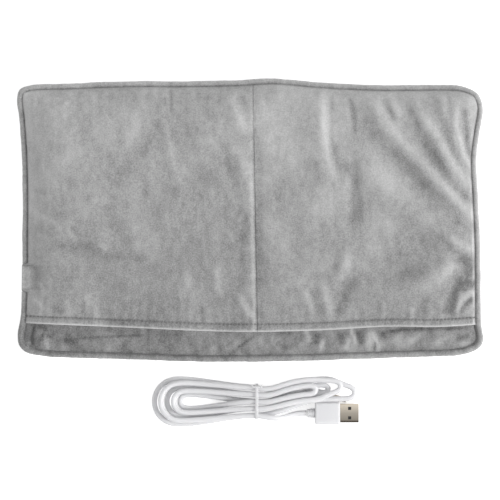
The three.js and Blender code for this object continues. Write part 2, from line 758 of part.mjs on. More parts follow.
function addElement() {
  const carrier = new THREE.ExtrudeGeometry(
    roundedOutline(carrierWidth, carrierDepth, backWaddingCorner),
    { depth: carrierThickness, bevelEnabled: false, curveSegments: cornerSegments },
  ).translate(0, carrierCentreY, carrierBottom);
  addPiece('heater_carrier', carrier, fabric(feltWhite));

  const wireZ = elementBottom + wireDiameter / 2;
  const startX = -wireRunLength / 2;
  const bend = wirePitch / 2;
  const firstY = carrierCentreY - ((wireRuns - 1) * wirePitch) / 2;
  const points = [new THREE.Vector3(startX, firstY, wireZ)];
  const bendSteps = 6;
  for (let run = 0; run < wireRuns; run += 1) {
    const y = firstY + run * wirePitch;
    const side = run % 2 === 0 ? 1 : -1;
    const endX = side * (wireRunLength / 2 - bend);
    if (run === wireRuns - 1) {
      points.push(new THREE.Vector3(startX, y, wireZ));
    } else {
      for (let step = 0; step <= bendSteps; step += 1) {
        const angle = (Math.PI * step) / bendSteps;
        const across = side * bend * Math.sin(angle);
        points.push(new THREE.Vector3(endX + across, y + bend - bend * Math.cos(angle), wireZ));
      }
    }
  }
  addPiece('heating_wire', tubeThrough(points, wireDiameter / 2, tubeSides), plastic(wireRed, 0.6));

  const spliceX = startX - faceGap - spliceLength / 2;
  const lastY = firstY + (wireRuns - 1) * wirePitch;
  const spliceZ = elementBottom + spliceDiameter / 2;
  const splice = turned([
    [-spliceLength / 2, 0], [-spliceLength / 2, spliceDiameter / 2],
    [spliceLength / 2, spliceDiameter / 2], [spliceLength / 2, 0],
  ], smallSides);
  addPiece('splice_sleeve_1', splice.clone().translate(spliceX, firstY, spliceZ), plastic(insulatorBlack));
  addPiece('splice_sleeve_2', splice.clone().translate(spliceX, lastY, spliceZ), plastic(insulatorBlack));

  const leadZ = elementBottom + leadDiameter / 2;
  const leadStartX = inletEndX + inletBootLength + 2 * faceGap;
  const leadEndX = spliceX - spliceLength / 2 - faceGap;
  const lead = (points2d, name) => addPiece(
    name,
    tubeThrough(points2d.map(([x, y, z = leadZ]) => new THREE.Vector3(x, y, z)), leadDiameter / 2, tubeSides),
    plastic(leadWhite),
  );
  const half = leadSpacing / 2;
  const turn = 2 * leadSpacing;
  lead([
    [leadStartX, inletY - half, inletZ], [leadStartX + turn / 2, inletY - half, inletZ],
    [returnLeadX - half, inletY - leadSpacing], [returnLeadX, inletY - turn],
    [returnLeadX + half, firstY + half], [returnLeadX + turn, firstY], [leadEndX, firstY],
  ], 'inlet_lead');
  lead([
    [leadStartX, inletY + half, inletZ], [leadStartX + turn / 2, inletY + half, inletZ],
    [returnLeadX - half, inletY + leadSpacing], [returnLeadX, inletY + turn],
    [returnLeadX, cutoutY - cutoutLength / 2 - faceGap],
  ], 'return_lead_lower');
  lead([
    [returnLeadX, cutoutY + cutoutLength / 2 + faceGap], [returnLeadX, lastY - turn],
    [returnLeadX + half, lastY - half], [returnLeadX + turn, lastY], [leadEndX, lastY],
  ], 'return_lead_upper');

  const cutout = new THREE.ExtrudeGeometry(
    roundedOutline(cutoutWidth, cutoutLength, cutoutWidth / 3),
    { depth: cutoutThickness, bevelEnabled: false, curveSegments: smallCornerSegments },
  ).translate(returnLeadX, cutoutY, elementBottom);
  addPiece('overheat_cutout', cutout, plastic(insulatorBlack));
}

function addInlet() {
  const bore = inletBore / 2;
  const outer = inletDiameter / 2;
  const place = (geometry) => geometry.translate(inletMouthX, inletY, inletZ);
  const sleeveOuter = bore + inletSleeveWall;
  addPiece('inlet_body', place(turned([
    [inletLength, 0], [inletBoreDepth + faceGap, 0], [inletBoreDepth + faceGap, sleeveOuter + faceGap],
    [0, sleeveOuter + faceGap], [0, outer], [inletLength, outer], [inletLength, 0],
  ], roundSides)), plastic(insulatorBlack));
  addPiece('inlet_sleeve', place(turned([
    [0, bore], [0, sleeveOuter], [inletBoreDepth, sleeveOuter], [inletBoreDepth, bore], [0, bore],
  ], roundSides)), metal(steelGrey));
  const pin = inletPinDiameter / 2;
  addPiece('inlet_pin', place(turned([
    [inletBoreDepth - inletPinLength, 0], [inletBoreDepth - inletPinLength, pin], [inletBoreDepth, pin],
    [inletBoreDepth, 0],
  ], smallSides)), metal(steelGrey));
  const boot = turned([
    [0, 0], [0, inletBootRootDiameter / 2],
    [inletBootLength, inletBootTipDiameter / 2], [inletBootLength, 0],
  ], coneSides);
  addPiece('inlet_boot', boot.translate(inletEndX + faceGap, inletY, inletZ), plastic(insulatorBlack));
}

// Supply lead. Half turns alternate between the far side of the waist and the near side. They
// spiral in over the first layer, climb one layer where the spiral turns back, and spiral out.
const runCount = 10;
const climbRun = 5;
const firstUpperTurn = 3;
const leftLoopSteps = [0, 2, 4, 3, 1];
const leadSettleShare = 0.4;
const floorZ = leadSettleShare * leadOuterDiameter;
const climbShares = [0.18, 0.705];
const usbDropShares = [0.41, 0.82];
const barrelDriftShare = 0.44;
const leftRunSteps = 3;
const rightRunSteps = 8;
const loopArcSteps = 5;

const barrelAxis = new THREE.Vector2(Math.cos(barrelTurn), Math.sin(barrelTurn));
const barrelWhole = barrelLength + barrelGripLength + barrelReliefLength + 3 * faceGap;
const barrelRear = new THREE.Vector2(barrelTipX, barrelTipY).addScaledVector(barrelAxis, -barrelWhole);
const barrelLeadIn = barrelRear.clone().addScaledVector(barrelAxis, -leadOuterDiameter);
const usbLeadInX = usbX - faceGap - leadOuterDiameter;

function waistSlot(run) {
  const steps = run < climbRun ? Math.ceil((climbRun - 1 - run) / 2) : Math.ceil((run - climbRun) / 2);
  return steps * strandStep * (run % 2 === 0 ? 1 : -1);
}

function layerZ(run) {
  return floorZ + (run < climbRun ? 0 : layerStep);
}

function liftAt(x) {
  return hankLift * ease((x - liftStartX) / (liftEndX - liftStartX));
}

// Right of the waist the strands lie a little closer, towards the one nearest the front
function pinchedSlot(run, x) {
  const low = waistSlot(runCount - 1);
  const closer = 1 - pinchShare * Math.exp(-(((x - pinchX) / pinchWidth) ** 2));
  return low + (waistSlot(run) - low) * closer;
}

function rightRun(run, side, pass) {
  return range(0, rightRunSteps).map((step) => {
    const share = step / rightRunSteps;
    if (run === 0) {
      const x = (barrelLeadIn.x - hankX) * share;
      const drift = ease((share - barrelDriftShare) / (1 - barrelDriftShare));
      const waistZ = floorZ + tieLift;
      return new THREE.Vector3(
        x, THREE.MathUtils.lerp(pinchedSlot(run, x), barrelLeadIn.y - hankY, drift),
        THREE.MathUtils.lerp(waistZ, barrelGripDiameter / 2, drift),
      );
    }
    if (run === runCount - 1) {
      const x = (usbLeadInX - hankX) * share;
      const drop = ease((share - usbDropShares[0]) / (usbDropShares[1] - usbDropShares[0]));
      const swing = usbTailBulge * Math.sin(Math.PI * share) ** 2;
      return new THREE.Vector3(
        x, THREE.MathUtils.lerp(pinchedSlot(run, x), usbY - hankY, ease(share)) - swing,
        THREE.MathUtils.lerp(layerZ(run) + liftAt(x), usbOvermoldHeight / 2, drop),
      );
    }
    const loop = rightLoops[pass - 1];
    const x = loop.x * share;
    const wide = loop.wide[side < 0 ? 0 : 1];
    const spread = THREE.MathUtils.lerp(
      pinchedSlot(run, x), wide, ease(x / (run < climbRun ? lowerDrawIn : upperDrawIn)),
    );
    const closed = ease((x - loop.x + rightCloseIn) / rightCloseIn);
    const y = spread + (loop.y + side * loop.radius - wide) * closed;
    return new THREE.Vector3(x, y, layerZ(run) + liftAt(x));
  });
}

function leftRun(run, side, loop) {
  const slot = waistSlot(run);
  return range(1, leftRunSteps).map((step) => {
    const share = step / leftRunSteps;
    const x = loop.x * share;
    const y = THREE.MathUtils.lerp(slot, leftLoopY + side * loop.radius, ease(share));
    const climb = ease((climbShares[1] - share) / (climbShares[1] - climbShares[0]));
    const z = run === climbRun ? floorZ + layerStep * climb : layerZ(run);
    const lift = run === 0 ? tieLift * (1 - ease(share)) : liftAt(x);
    return new THREE.Vector3(x, y, z + lift);
  });
}

function loopArc(centre, startAngle, layer) {
  return range(1, loopArcSteps - 1).map((step) => {
    const angle = startAngle + (Math.PI * step) / loopArcSteps;
    const x = centre.x + centre.radius * Math.cos(angle);
    return new THREE.Vector3(x, centre.y + centre.radius * Math.sin(angle), layer + liftAt(x));
  });
}

function hankRoute() {
  const route = [];
  for (let run = 0; run < runCount; run += 1) {
    const turn = Math.floor(run / 2);
    const side = run % 2 === 0 ? 1 : -1;
    const radius = leftLoopRadius - leftRadiusStep * leftLoopSteps[turn];
    const left = { x: -hankLeftReach + leftReachStep * leftLoopSteps[turn] + radius, y: leftLoopY, radius };
    const pass = side > 0 ? turn : turn + 1;
    const right = rightRun(run, side, pass);
    if (side > 0) {
      route.push(...right.reverse(), ...leftRun(run, side, left));
      route.push(...loopArc(left, Math.PI / 2, layerZ(turn < firstUpperTurn ? 0 : climbRun)));
    } else {
      route.push(...leftRun(run, side, left).reverse(), ...right);
      if (run < runCount - 1) route.push(...loopArc(rightLoops[pass - 1], -Math.PI / 2, layerZ(run)));
    }
  }
  return route
    .filter((point, index) => index === 0 || point.distanceTo(route[index - 1]) > leadOuterDiameter / 10)
    .map((point) => point.add(new THREE.Vector3(hankX, hankY, 0)));
}

// Both ends of the lead run straight for one diameter, square to the plug that they meet
function straightEnds(route) {
  const first = new THREE.Vector3(barrelRear.x, barrelRear.y, barrelGripDiameter / 2);
  const last = new THREE.Vector3(usbX - faceGap, usbY, usbOvermoldHeight / 2);
  return [first, ...route, last];
}

// The least distance between strands of the lead, on points along it, less its diameter
function leastStrandGap(route) {
  const samples = [];
  let length = 0;
  for (let index = 1; index < route.length; index += 1) {
    const steps = Math.ceil(route[index].distanceTo(route[index - 1]) / (leadOuterDiameter / 5));
    for (let step = 0; step < steps; step += 1) {
      const point = route[index - 1].clone().lerp(route[index], step / steps);
      samples.push({ point, at: length + (route[index].distanceTo(route[index - 1]) * step) / steps });
    }
    length += route[index].distanceTo(route[index - 1]);
  }
  let least = Infinity;
  samples.forEach((one, index) => {
    for (let other = index + 1; other < samples.length; other += 1) {
      const apart = samples[other].at - one.at > 3 * leadOuterDiameter;
      if (apart) least = Math.min(least, one.point.distanceTo(samples[other].point));
    }
  });
  return { least: least - leadOuterDiameter, length };
}

const leadRoute = straightEnds(hankRoute());
const leadGap = leastStrandGap(leadRoute);
console.log(`Lead: ${leadGap.length.toFixed(0)} mm long, least gap to itself ${leadGap.least.toFixed(2)} mm`);

function addLead() {
  const lead = tubeThrough(leadRoute, leadOuterDiameter / 2, tubeSides, true);
  addPiece('supply_lead', lead, plastic(leadWhite, 0.5));

  const waist = liftAt(0) + layerZ(climbRun) + leadOuterDiameter / 2 + faceGap;
  const reach = 2 * strandStep + leadOuterDiameter / 2 + faceGap;
  const outline = (grow) => {
    const shape = new THREE.Shape();
    const y = reach + grow;
    const [low, high] = [tieThickness - grow, waist + grow];
    const corner = leadOuterDiameter / 2 + grow;
    shape.moveTo(-y + corner, low);
    shape.lineTo(y - corner, low);
    shape.absarc(y - corner, low + corner, corner, -Math.PI / 2, 0, false);
    shape.absarc(y - corner, high - corner, corner, 0, Math.PI / 2, false);
    shape.absarc(-y + corner, high - corner, corner, Math.PI / 2, Math.PI, false);
    shape.absarc(-y + corner, low + corner, corner, Math.PI, 1.5 * Math.PI, false);
    return shape;
  };
  const band = outline(tieThickness);
  band.holes.push(outline(0));
  const loop = new THREE.ExtrudeGeometry(band, {
    depth: tieWidth, bevelEnabled: false, curveSegments: smallCornerSegments,
  }).translate(0, 0, -tieWidth / 2).rotateX(Math.PI / 2).rotateZ(Math.PI / 2)
    .translate(hankX, hankY, 0);
  const twistRadius = tieTwistDiameter / 2;
  const twist = turned([
    [-tieTwistLength / 2, 0], [-tieTwistLength / 2, twistRadius], [tieTwistLength / 2, twistRadius],
    [tieTwistLength / 2, 0],
  ], smallSides);
  twist.translate(hankX, hankY + reach - leadOuterDiameter / 2, waist + tieThickness / 2 + twistRadius / 2);
  addPiece('twist_tie', join(loop, twist), plastic(leadWhite));
}

function addUsbPlug() {
  const z = usbOvermoldHeight / 2;
  const reliefTip = leadOuterDiameter / 2 + faceGap;
  const relief = turned([
    [0, 0], [0, reliefTip], [usbReliefLength, usbReliefDiameter / 2], [usbReliefLength, 0],
  ], coneSides).translate(usbX, usbY, z);
  addPiece('usb_strain_relief', relief, plastic(leadWhite));

  const moldX = usbX + usbReliefLength + faceGap;
  const edge = usbOvermoldEdge;
  const mold = new THREE.ExtrudeGeometry(
    roundedOutline(usbOvermoldLength - 2 * edge, usbOvermoldWidth - 2 * edge, usbOvermoldCorner - edge),
    {
      depth: usbOvermoldHeight - 2 * edge,
      bevelThickness: edge,
      bevelSize: edge,
      bevelSegments: edgeSegments,
      curveSegments: smallCornerSegments,
    },
  ).translate(moldX + usbOvermoldLength / 2, usbY, edge);
  addPiece('usb_overmold', mold, plastic(leadWhite));

  const shellX = moldX + usbOvermoldLength + faceGap;
  const hollow = roundedBar(
    usbShellLength + 2 * cutOverrun, usbShellWidth - 2 * usbShellWall, usbShellHeight - 2 * usbShellWall,
    usbShellCorner - usbShellWall, edgeSegments,
  ).translate(shellX - cutOverrun, usbY, z);
  const windows = [-1, 1].map((side) => {
    const y = usbY + (side * usbWindowSpacing) / 2;
    const x = shellX + usbWindowX;
    const half = usbWindow / 2;
    return box([x - half, y - half, z], [x + half, y + half, z + usbShellHeight]);
  });
  const shell = roundedBar(usbShellLength, usbShellWidth, usbShellHeight, usbShellCorner, edgeSegments)
    .translate(shellX, usbY, z);
  addPiece('usb_shell', cut(shell, hollow, ...windows), metal(steelGrey));

  const insideHalf = usbShellWidth / 2 - usbShellWall - faceGap;
  const ceiling = z + usbShellHeight / 2 - usbShellWall - faceGap;
  const tongueBottom = ceiling - usbTongueHeight;
  addPiece('usb_tongue', box(
    [shellX, usbY - insideHalf, tongueBottom], [shellX + usbTongueLength, usbY + insideHalf, ceiling],
  ), plastic(insulatorBlack));
  const spreads = [-usbContactPitchOuter, -usbContactPitchInner, usbContactPitchInner, usbContactPitchOuter];
  spreads.forEach((spread, index) => {
    const y = usbY + spread / 2;
    const half = usbContactWidth / 2;
    addPiece(`usb_contact_${index + 1}`, box(
      [shellX + faceGap, y - half, tongueBottom - faceGap - usbContactHeight],
      [shellX + usbTongueLength - cutOverrun, y + half, tongueBottom - faceGap],
    ), metal(contactGold));
  });
}

function addBarrelPlug() {
  const place = (geometry) => geometry.rotateZ(barrelTurn)
    .translate(barrelRear.x, barrelRear.y, barrelGripDiameter / 2);
  const grip = barrelGripDiameter / 2;
  const reliefStart = faceGap;
  const gripStart = reliefStart + barrelReliefLength + faceGap;
  const gripEnd = gripStart + barrelGripLength;
  const sleeveStart = gripEnd + faceGap;
  const sleeveEnd = sleeveStart + barrelLength;
  addPiece('barrel_strain_relief', place(turned([
    [reliefStart, 0], [reliefStart, barrelReliefTipDiameter / 2],
    [reliefStart + barrelReliefLength, grip - barrelGripCorner], [reliefStart + barrelReliefLength, 0],
  ], coneSides)), plastic(leadWhite));
  addPiece('barrel_grip', place(turned([
    [gripStart, 0], [gripStart, grip - barrelGripCorner], [gripStart + barrelGripCorner, grip],
    [gripEnd - barrelGripCorner, grip], [gripEnd, grip - barrelGripCorner], [gripEnd, 0],
  ], roundSides)), plastic(leadWhite));
  const outer = barrelDiameter / 2;
  const sleeveInner = outer - barrelWall;
  addPiece('barrel_sleeve', place(turned([
    [sleeveStart, sleeveInner], [sleeveStart, outer], [sleeveEnd, outer], [sleeveEnd, sleeveInner],
    [sleeveStart, sleeveInner],
  ], roundSides)), metal(steelGrey));
  const insulatorOuter = sleeveInner - faceGap / 2;
  const insulatorEnd = sleeveEnd - barrelInsulatorSetBack;
  addPiece('barrel_insulator', place(turned([
    [sleeveStart, barrelBore / 2], [sleeveStart, insulatorOuter], [insulatorEnd, insulatorOuter],
    [insulatorEnd, barrelBore / 2], [sleeveStart, barrelBore / 2],
  ], coneSides)), plastic(insulatorBlack));
}

addBackLayers();
addElement();
addInlet();
addFrontLayers();
addPiping();
addLead();
addUsbPlug();
addBarrelPlug();

export default part;
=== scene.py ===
"""Dressed model of a heated foot warmer: a plush foot pouch and its tied USB supply lead.

The pouch lies on its back with its mouth towards -Y. Sizes are written in millimetres, as the
pouch was drawn, and turned to metres when a mesh is made.
"""

from __future__ import annotations

import logging
import math
from dataclasses import dataclass, field
from enum import Enum
from typing import Sequence

import bpy
import numpy as np
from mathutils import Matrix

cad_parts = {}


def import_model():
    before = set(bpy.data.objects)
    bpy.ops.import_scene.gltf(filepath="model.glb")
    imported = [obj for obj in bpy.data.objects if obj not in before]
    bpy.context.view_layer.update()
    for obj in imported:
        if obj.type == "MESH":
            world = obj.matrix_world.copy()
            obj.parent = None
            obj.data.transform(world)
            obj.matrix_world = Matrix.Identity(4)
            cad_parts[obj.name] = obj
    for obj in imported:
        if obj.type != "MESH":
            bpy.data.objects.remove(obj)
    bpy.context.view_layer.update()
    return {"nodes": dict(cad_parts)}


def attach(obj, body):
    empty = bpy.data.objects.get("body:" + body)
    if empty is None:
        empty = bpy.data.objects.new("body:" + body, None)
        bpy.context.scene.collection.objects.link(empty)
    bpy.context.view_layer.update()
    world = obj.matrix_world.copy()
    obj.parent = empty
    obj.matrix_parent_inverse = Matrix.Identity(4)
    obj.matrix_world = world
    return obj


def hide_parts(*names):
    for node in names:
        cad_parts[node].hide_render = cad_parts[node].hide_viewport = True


LOG = logging.getLogger("foot_warmer")
MM = 0.001
Array = np.ndarray


class Body(Enum):
    """The two rigid bodies of the frame."""

    POUCH = "pouch"
    LEAD = "lead"


class Slot(Enum):
    """The record's material slots, passed along with each new piece."""

    PLUSH = "plush"
    LINING = "lining"
    WHITE_RUBBER = "white_rubber"
    WHITE_PLASTIC = "white_plastic"
    BLACK_PLASTIC = "black_plastic"
    STEEL = "steel"
    GOLD = "gold"
    WADDING = "wadding"
    FELT = "felt"
    WIRE = "wire"


# Curves and grids, in millimetres


def smooth(share: Array | float) -> Array:
    """Smooth step from 0 to 1: three times the share squared less twice its cube.

    Args:
        share: Position along the step; it is held between 0 and 1.

    Returns:
        The eased share.
    """
    held = np.clip(share, 0.0, 1.0)
    return held * held * (3.0 - 2.0 * held)


def rounded(share: Array | float, power: float = 2.0) -> Array:
    """Rise of a sewn edge: one less a power of what is left of the share."""
    return 1.0 - (1.0 - np.clip(share, 0.0, 1.0)) ** power


def lengths_along(line: Array) -> Array:
    """Distance along a polyline at each of its points."""
    steps = np.linalg.norm(np.diff(line, axis=0), axis=1)
    return np.concatenate([[0.0], np.cumsum(steps)])


def along(line: Array, shares: Array) -> Array:
    """Points on a polyline at shares of its length.

    Args:
        line: Points of the polyline, one row each.
        shares: Shares of the whole length, from 0 to 1.

    Returns:
        One point per share.
    """
    at = lengths_along(line)
    return np.stack([np.interp(shares * at[-1], at, line[:, k]) for k in range(line.shape[1])], axis=-1)


def centripetal(points: Array, closed: bool, steps: int) -> Array:
    """Centripetal Catmull-Rom curve: a Hermite cubic between each two points.

    Each end's slope is the difference of the chords beside it, weighed by the square roots of
    their lengths. An open curve is extended by mirroring its first and last chords.

    Args:
        points: Points that the curve passes through.
        closed: True for a loop.
        steps: Samples per span.

    Returns:
        Sampled points; a closed curve doesn't repeat its first one.
    """
    if closed:
        padded = np.concatenate([points[-1:], points, points[:2]])
    else:
        padded = np.concatenate([2 * points[:1] - points[1:2], points, 2 * points[-1:] - points[-2:-1]])
    p0, p1, p2, p3 = padded[:-3], padded[1:-2], padded[2:-1], padded[3:]
    pairs = ((p0, p1), (p1, p2), (p2, p3))
    d0, d1, d2 = (np.sqrt(np.linalg.norm(b - a, axis=1, keepdims=True)) for a, b in pairs)
    slope1 = ((p1 - p0) / d0 - (p2 - p0) / (d0 + d1) + (p2 - p1) / d1) * d1
    slope2 = ((p2 - p1) / d1 - (p3 - p1) / (d1 + d2) + (p3 - p2) / d2) * d1
    t = (np.arange(steps) / steps)[None, :, None]
    a, b, m, n = p1[:, None], p2[:, None], slope1[:, None], slope2[:, None]
    curve = (
        (2 * t**3 - 3 * t**2 + 1) * a + (t**3 - 2 * t**2 + t) * m
        + (3 * t**2 - 2 * t**3) * b + (t**3 - t**2) * n
    )
    curve = curve.reshape(-1, points.shape[1])
    return curve if closed else np.concatenate([curve, points[-1:]])


def wave_sum(at: Array, pitch: float, seed: int, count: int = 5) -> Array:
    """Uneven waves along a line: sines with seeded pitches and phases, between about -1 and 1.

    Args:
        at: Position along the line.
        pitch: Typical distance between two waves.
        seed: Seed of the pitches and phases.
        count: Number of sines.

    Returns:
        Height of the waves.
    """
    rng = np.random.default_rng(seed)
    pitches = pitch * rng.uniform(0.6, 1.7, count)
    phases = rng.uniform(0.0, 2 * math.pi, count)
    total = sum(np.sin(2 * math.pi * at / p + q) for p, q in zip(pitches, phases))
    return total / math.sqrt(count) / 1.2


def cloud(x: Array, y: Array, pitch: float, seed: int, count: int = 9) -> Array:
    """Soft uneven ground: plane waves in seeded directions, between about -1 and 1."""
    rng = np.random.default_rng(seed)
    angles = rng.uniform(0.0, math.pi, count)
    pitches = pitch * rng.uniform(0.6, 1.8, count)
    phases = rng.uniform(0.0, 2 * math.pi, count)
    total = sum(
        np.sin(2 * math.pi * (x * math.cos(a) + y * math.sin(a)) / p + q)
        for a, p, q in zip(angles, pitches, phases)
    )
    return total / math.sqrt(count) / 1.1


def nearest_on(line: Sequence[Sequence[float]], x: Array, y: Array) -> tuple[Array, Array, Array]:
    """Finds the nearest point of a smooth line for each place of a grid.

    Args:
        line: Points that the line passes, in millimetres.
        x: Grid of X places.
        y: Grid of Y places.

    Returns:
        Distance to the line, share of its length at the nearest point, and the side: -1 on its
        left as seen with Y up, or 1.
    """
    points = centripetal(np.array(line), False, 6)
    at = lengths_along(points) / lengths_along(points)[-1]
    best = np.full(x.shape, np.inf)
    share = np.zeros(x.shape)
    side = np.zeros(x.shape)
    for start, end, first, last in zip(points[:-1], points[1:], at[:-1], at[1:]):
        run = end - start
        dx, dy = x - start[0], y - start[1]
        u = np.clip((dx * run[0] + dy * run[1]) / (run @ run), 0.0, 1.0)
        away = np.hypot(dx - u * run[0], dy - u * run[1])
        nearer = away < best
        best = np.where(nearer, away, best)
        share = np.where(nearer, first + u * (last - first), share)
        side = np.where(nearer, np.sign((dx * run[1] - dy * run[0]) * (1 if run[1] < 0 else -1)), side)
    return best, share, side


@dataclass(frozen=True)
class Fold:
    """A crease in cloth: a ridge, or a valley where its height is negative.

    Attributes:
        line: Points that it passes, in millimetres.
        width: Distance from its crest at which it has fallen to a third.
        height: Height of the crest, in millimetres.
        skew: How much steeper its right side is than its left, from -1 to 1.
    """

    line: tuple[tuple[float, float], ...]
    width: float
    height: float
    skew: float = 0.0

    def at(self, x: Array, y: Array) -> Array:
        """Height of the fold over a grid: a bell curve across it, and half a sine along it."""
        away, share, side = nearest_on(self.line, x, y)
        width = self.width * (1.0 + self.skew * np.where(side < 0, -0.5, 0.5))
        return self.height * np.exp(-((away / width) ** 2)) * np.sin(math.pi * (0.06 + 0.88 * share)) ** 0.7


@dataclass(frozen=True)
class PaintedShade:
    """A band of painted light or painted shade on the pile, laid along the lit or shaded side of a fold, a
    seam or the hem's shadow.

    Attributes:
        line: Points that it passes, in millimetres.
        width: Half its width, in millimetres.
        shade: How much lighter the band paints the pile, from -1 to 1; below 0 it is painted shade.
    """

    line: tuple[tuple[float, float], ...]
    width: float
    shade: float

    def at(self, x: Array, y: Array) -> Array:
        """Painted shade of the band over a grid: even along it, with soft edges and ends."""
        away, share, _ = nearest_on(self.line, x, y)
        ends = smooth(np.minimum(share, 1.0 - share) / 0.22 + 0.3)
        return self.shade * np.exp(-((away / self.width) ** 2)) * ends


# Meshes


def new_piece(
    name: str, points: Array, faces: Array | Sequence[Sequence[int]], shade: bool = True
) -> bpy.types.Object:
    """Makes an object at the origin from points in millimetres.

    Args:
        name: Name of the piece.
        points: Vertex places, one row each, in millimetres.
        faces: Vertex numbers of each face.
        shade: True for smooth shading.

    Returns:
        The new object, linked to the scene.
    """
    mesh = bpy.data.meshes.new(name)
    mesh.from_pydata((np.asarray(points) * MM).tolist(), [], [list(map(int, f)) for f in faces])
    mesh.polygons.foreach_set("use_smooth", np.full(len(mesh.polygons), shade))
    mesh.validate()
    mesh.update()
    piece = bpy.data.objects.new(name, mesh)
    bpy.context.scene.collection.objects.link(piece)
    return piece


def merged(name: str, solids: Sequence[tuple[Array, Array]]) -> bpy.types.Object:
    """One object from several closed surfaces, each a pair of points and faces."""
    points, faces, base = [], [], 0
    for solid_points, solid_faces in solids:
        points.append(solid_points)
        faces.extend([[v + base for v in face] for face in solid_faces])
        base += len(solid_points)
    return new_piece(name, np.concatenate(points), faces)


def set_attribute(piece: bpy.types.Object, name: str, values: Array) -> None:
    """Stores one number per vertex under a name that a material reads."""
    attribute = piece.data.attributes.new(name, "FLOAT", "POINT")
    attribute.data.foreach_set("value", np.asarray(values, dtype=np.float32).ravel())


def grid_faces(rows: int, columns: int, wrap: bool = False) -> Array:
    """Quads of a grid whose points run column by column along each row.

    Args:
        rows: Number of rows of points.
        columns: Points in a row.
        wrap: True where the last column joins the first.

    Returns:
        Four vertex numbers per face.
    """
    across = columns if wrap else columns - 1
    j, i = np.meshgrid(np.arange(rows - 1), np.arange(across), indexing="ij")
    a = j * columns + i
    b = j * columns + (i + 1) % columns
    return np.stack([a, b, b + columns, a + columns], axis=-1).reshape(-1, 4)


def slab(top: Array, bottom: Array) -> tuple[Array, Array]:
    """A closed sheet between two grids of points of the same shape.

    The top grid's rows run up +Y and its columns along +X. The bottom is turned over, and the
    four borders are closed with one strip of quads.

    Args:
        top: Grid of points, rows by columns by 3.
        bottom: Grid of the same shape, under it.

    Returns:
        Points and faces.
    """
    rows, columns = top.shape[:2]
    under = rows * columns
    faces = grid_faces(rows, columns)
    index = np.arange(under).reshape(rows, columns)
    rim = np.concatenate([index[0, :], index[1:, -1], index[-1, -2::-1], index[-2:0:-1, 0]])
    after = np.roll(rim, -1)
    walls = np.stack([rim, rim + under, after + under, after], axis=-1)
    points = np.concatenate([top.reshape(-1, 3), bottom.reshape(-1, 3)])
    return points, np.concatenate([faces, faces[:, ::-1] + under, walls])


def swept(path: Array, radius: Array | float, sides: int) -> tuple[Array, list]:
    """A closed round tube along a path.

    Each ring stands square to the path on a frame of the level direction across it and the
    direction over it. Both ends are closed with one face.

    Args:
        path: Points of the centre line, in millimetres.
        radius: Radius, the same all along or one per point.
        sides: Points in a ring.

    Returns:
        Points and faces.
    """
    ahead = np.gradient(path, axis=0)
    ahead /= np.linalg.norm(ahead, axis=1, keepdims=True)
    across = np.cross(ahead, [0.0, 0.0, 1.0])
    across /= np.linalg.norm(across, axis=1, keepdims=True)
    over = np.cross(across, ahead)
    angle = 2 * math.pi * np.arange(sides) / sides
    wide = np.broadcast_to(radius, len(path))[:, None, None]
    rings = path[:, None] + wide * (
        across[:, None] * np.cos(angle)[None, :, None] + over[:, None] * np.sin(angle)[None, :, None]
    )
    points = rings.reshape(-1, 3)
    faces = [face[::-1] for face in grid_faces(len(path), sides, True).tolist()]
    last = (len(path) - 1) * sides
    faces.append(list(range(sides)))
    faces.append([last + k for k in range(sides)][::-1])
    return points, faces


def turned(profile: Array, sides: int) -> tuple[Array, list]:
    """A solid turned about the X axis from a profile of [x, radius] that starts and ends on it.

    Args:
        profile: Profile points; the first and last have radius 0.
        sides: Points in a ring.

    Returns:
        Points and faces, with one point at each pole.
    """
    angle = 2 * math.pi * np.arange(sides) / sides
    inner = profile[1:-1]
    ring = np.stack([np.zeros(sides), np.cos(angle), np.sin(angle)], axis=-1)
    rings = inner[:, None, :1] * np.array([1.0, 0.0, 0.0]) + inner[:, None, 1:2] * ring[None]
    points = np.concatenate([rings.reshape(-1, 3), [[profile[0][0], 0, 0], [profile[-1][0], 0, 0]]])
    faces = [face[::-1] for face in grid_faces(len(inner), sides, True).tolist()]
    first, last = len(points) - 2, len(points) - 1
    base = (len(inner) - 1) * sides
    after = [(k + 1) % sides for k in range(sides)]
    faces += [[first, k, after[k]] for k in range(sides)]
    faces += [[last, base + after[k], base + k] for k in range(sides)]
    return points, faces


def placed(points: Array, turn: float, at: Sequence[float]) -> Array:
    """Points turned about Z by an angle and then moved."""
    c, s = math.cos(turn), math.sin(turn)
    return points @ np.array([[c, s, 0.0], [-s, c, 0.0], [0.0, 0.0, 1.0]]) + np.array(at)


def finish_piece(
    piece: bpy.types.Object, body: Body, slot: Slot, material: bpy.types.Material, *nodes: str
) -> bpy.types.Object:
    """Gives a new piece its material and its place in the frame.

    Args:
        piece: The new piece.
        body: Body that it rides on.
        slot: Material slot of the record that it belongs to; not used.
        material: Its finish.
        nodes: CAD nodes that it stands for.

    Returns:
        The same piece.
    """
    piece.data.materials.clear()
    piece.data.materials.append(material)
    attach(piece, body.value)
    if nodes:
        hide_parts(*nodes)
    LOG.info("%s: %d faces", piece.name, len(piece.data.polygons))
    return piece


# Materials


def linear(hex_colour: str) -> tuple[float, float, float, float]:
    """Turns an sRGB hex colour to linear red, green, blue and alpha."""
    channels = [int(hex_colour[k : k + 2], 16) / 255 for k in (0, 2, 4)]
    straight = [c / 12.92 if c <= 0.04045 else ((c + 0.055) / 1.055) ** 2.4 for c in channels]
    return (*straight, 1.0)


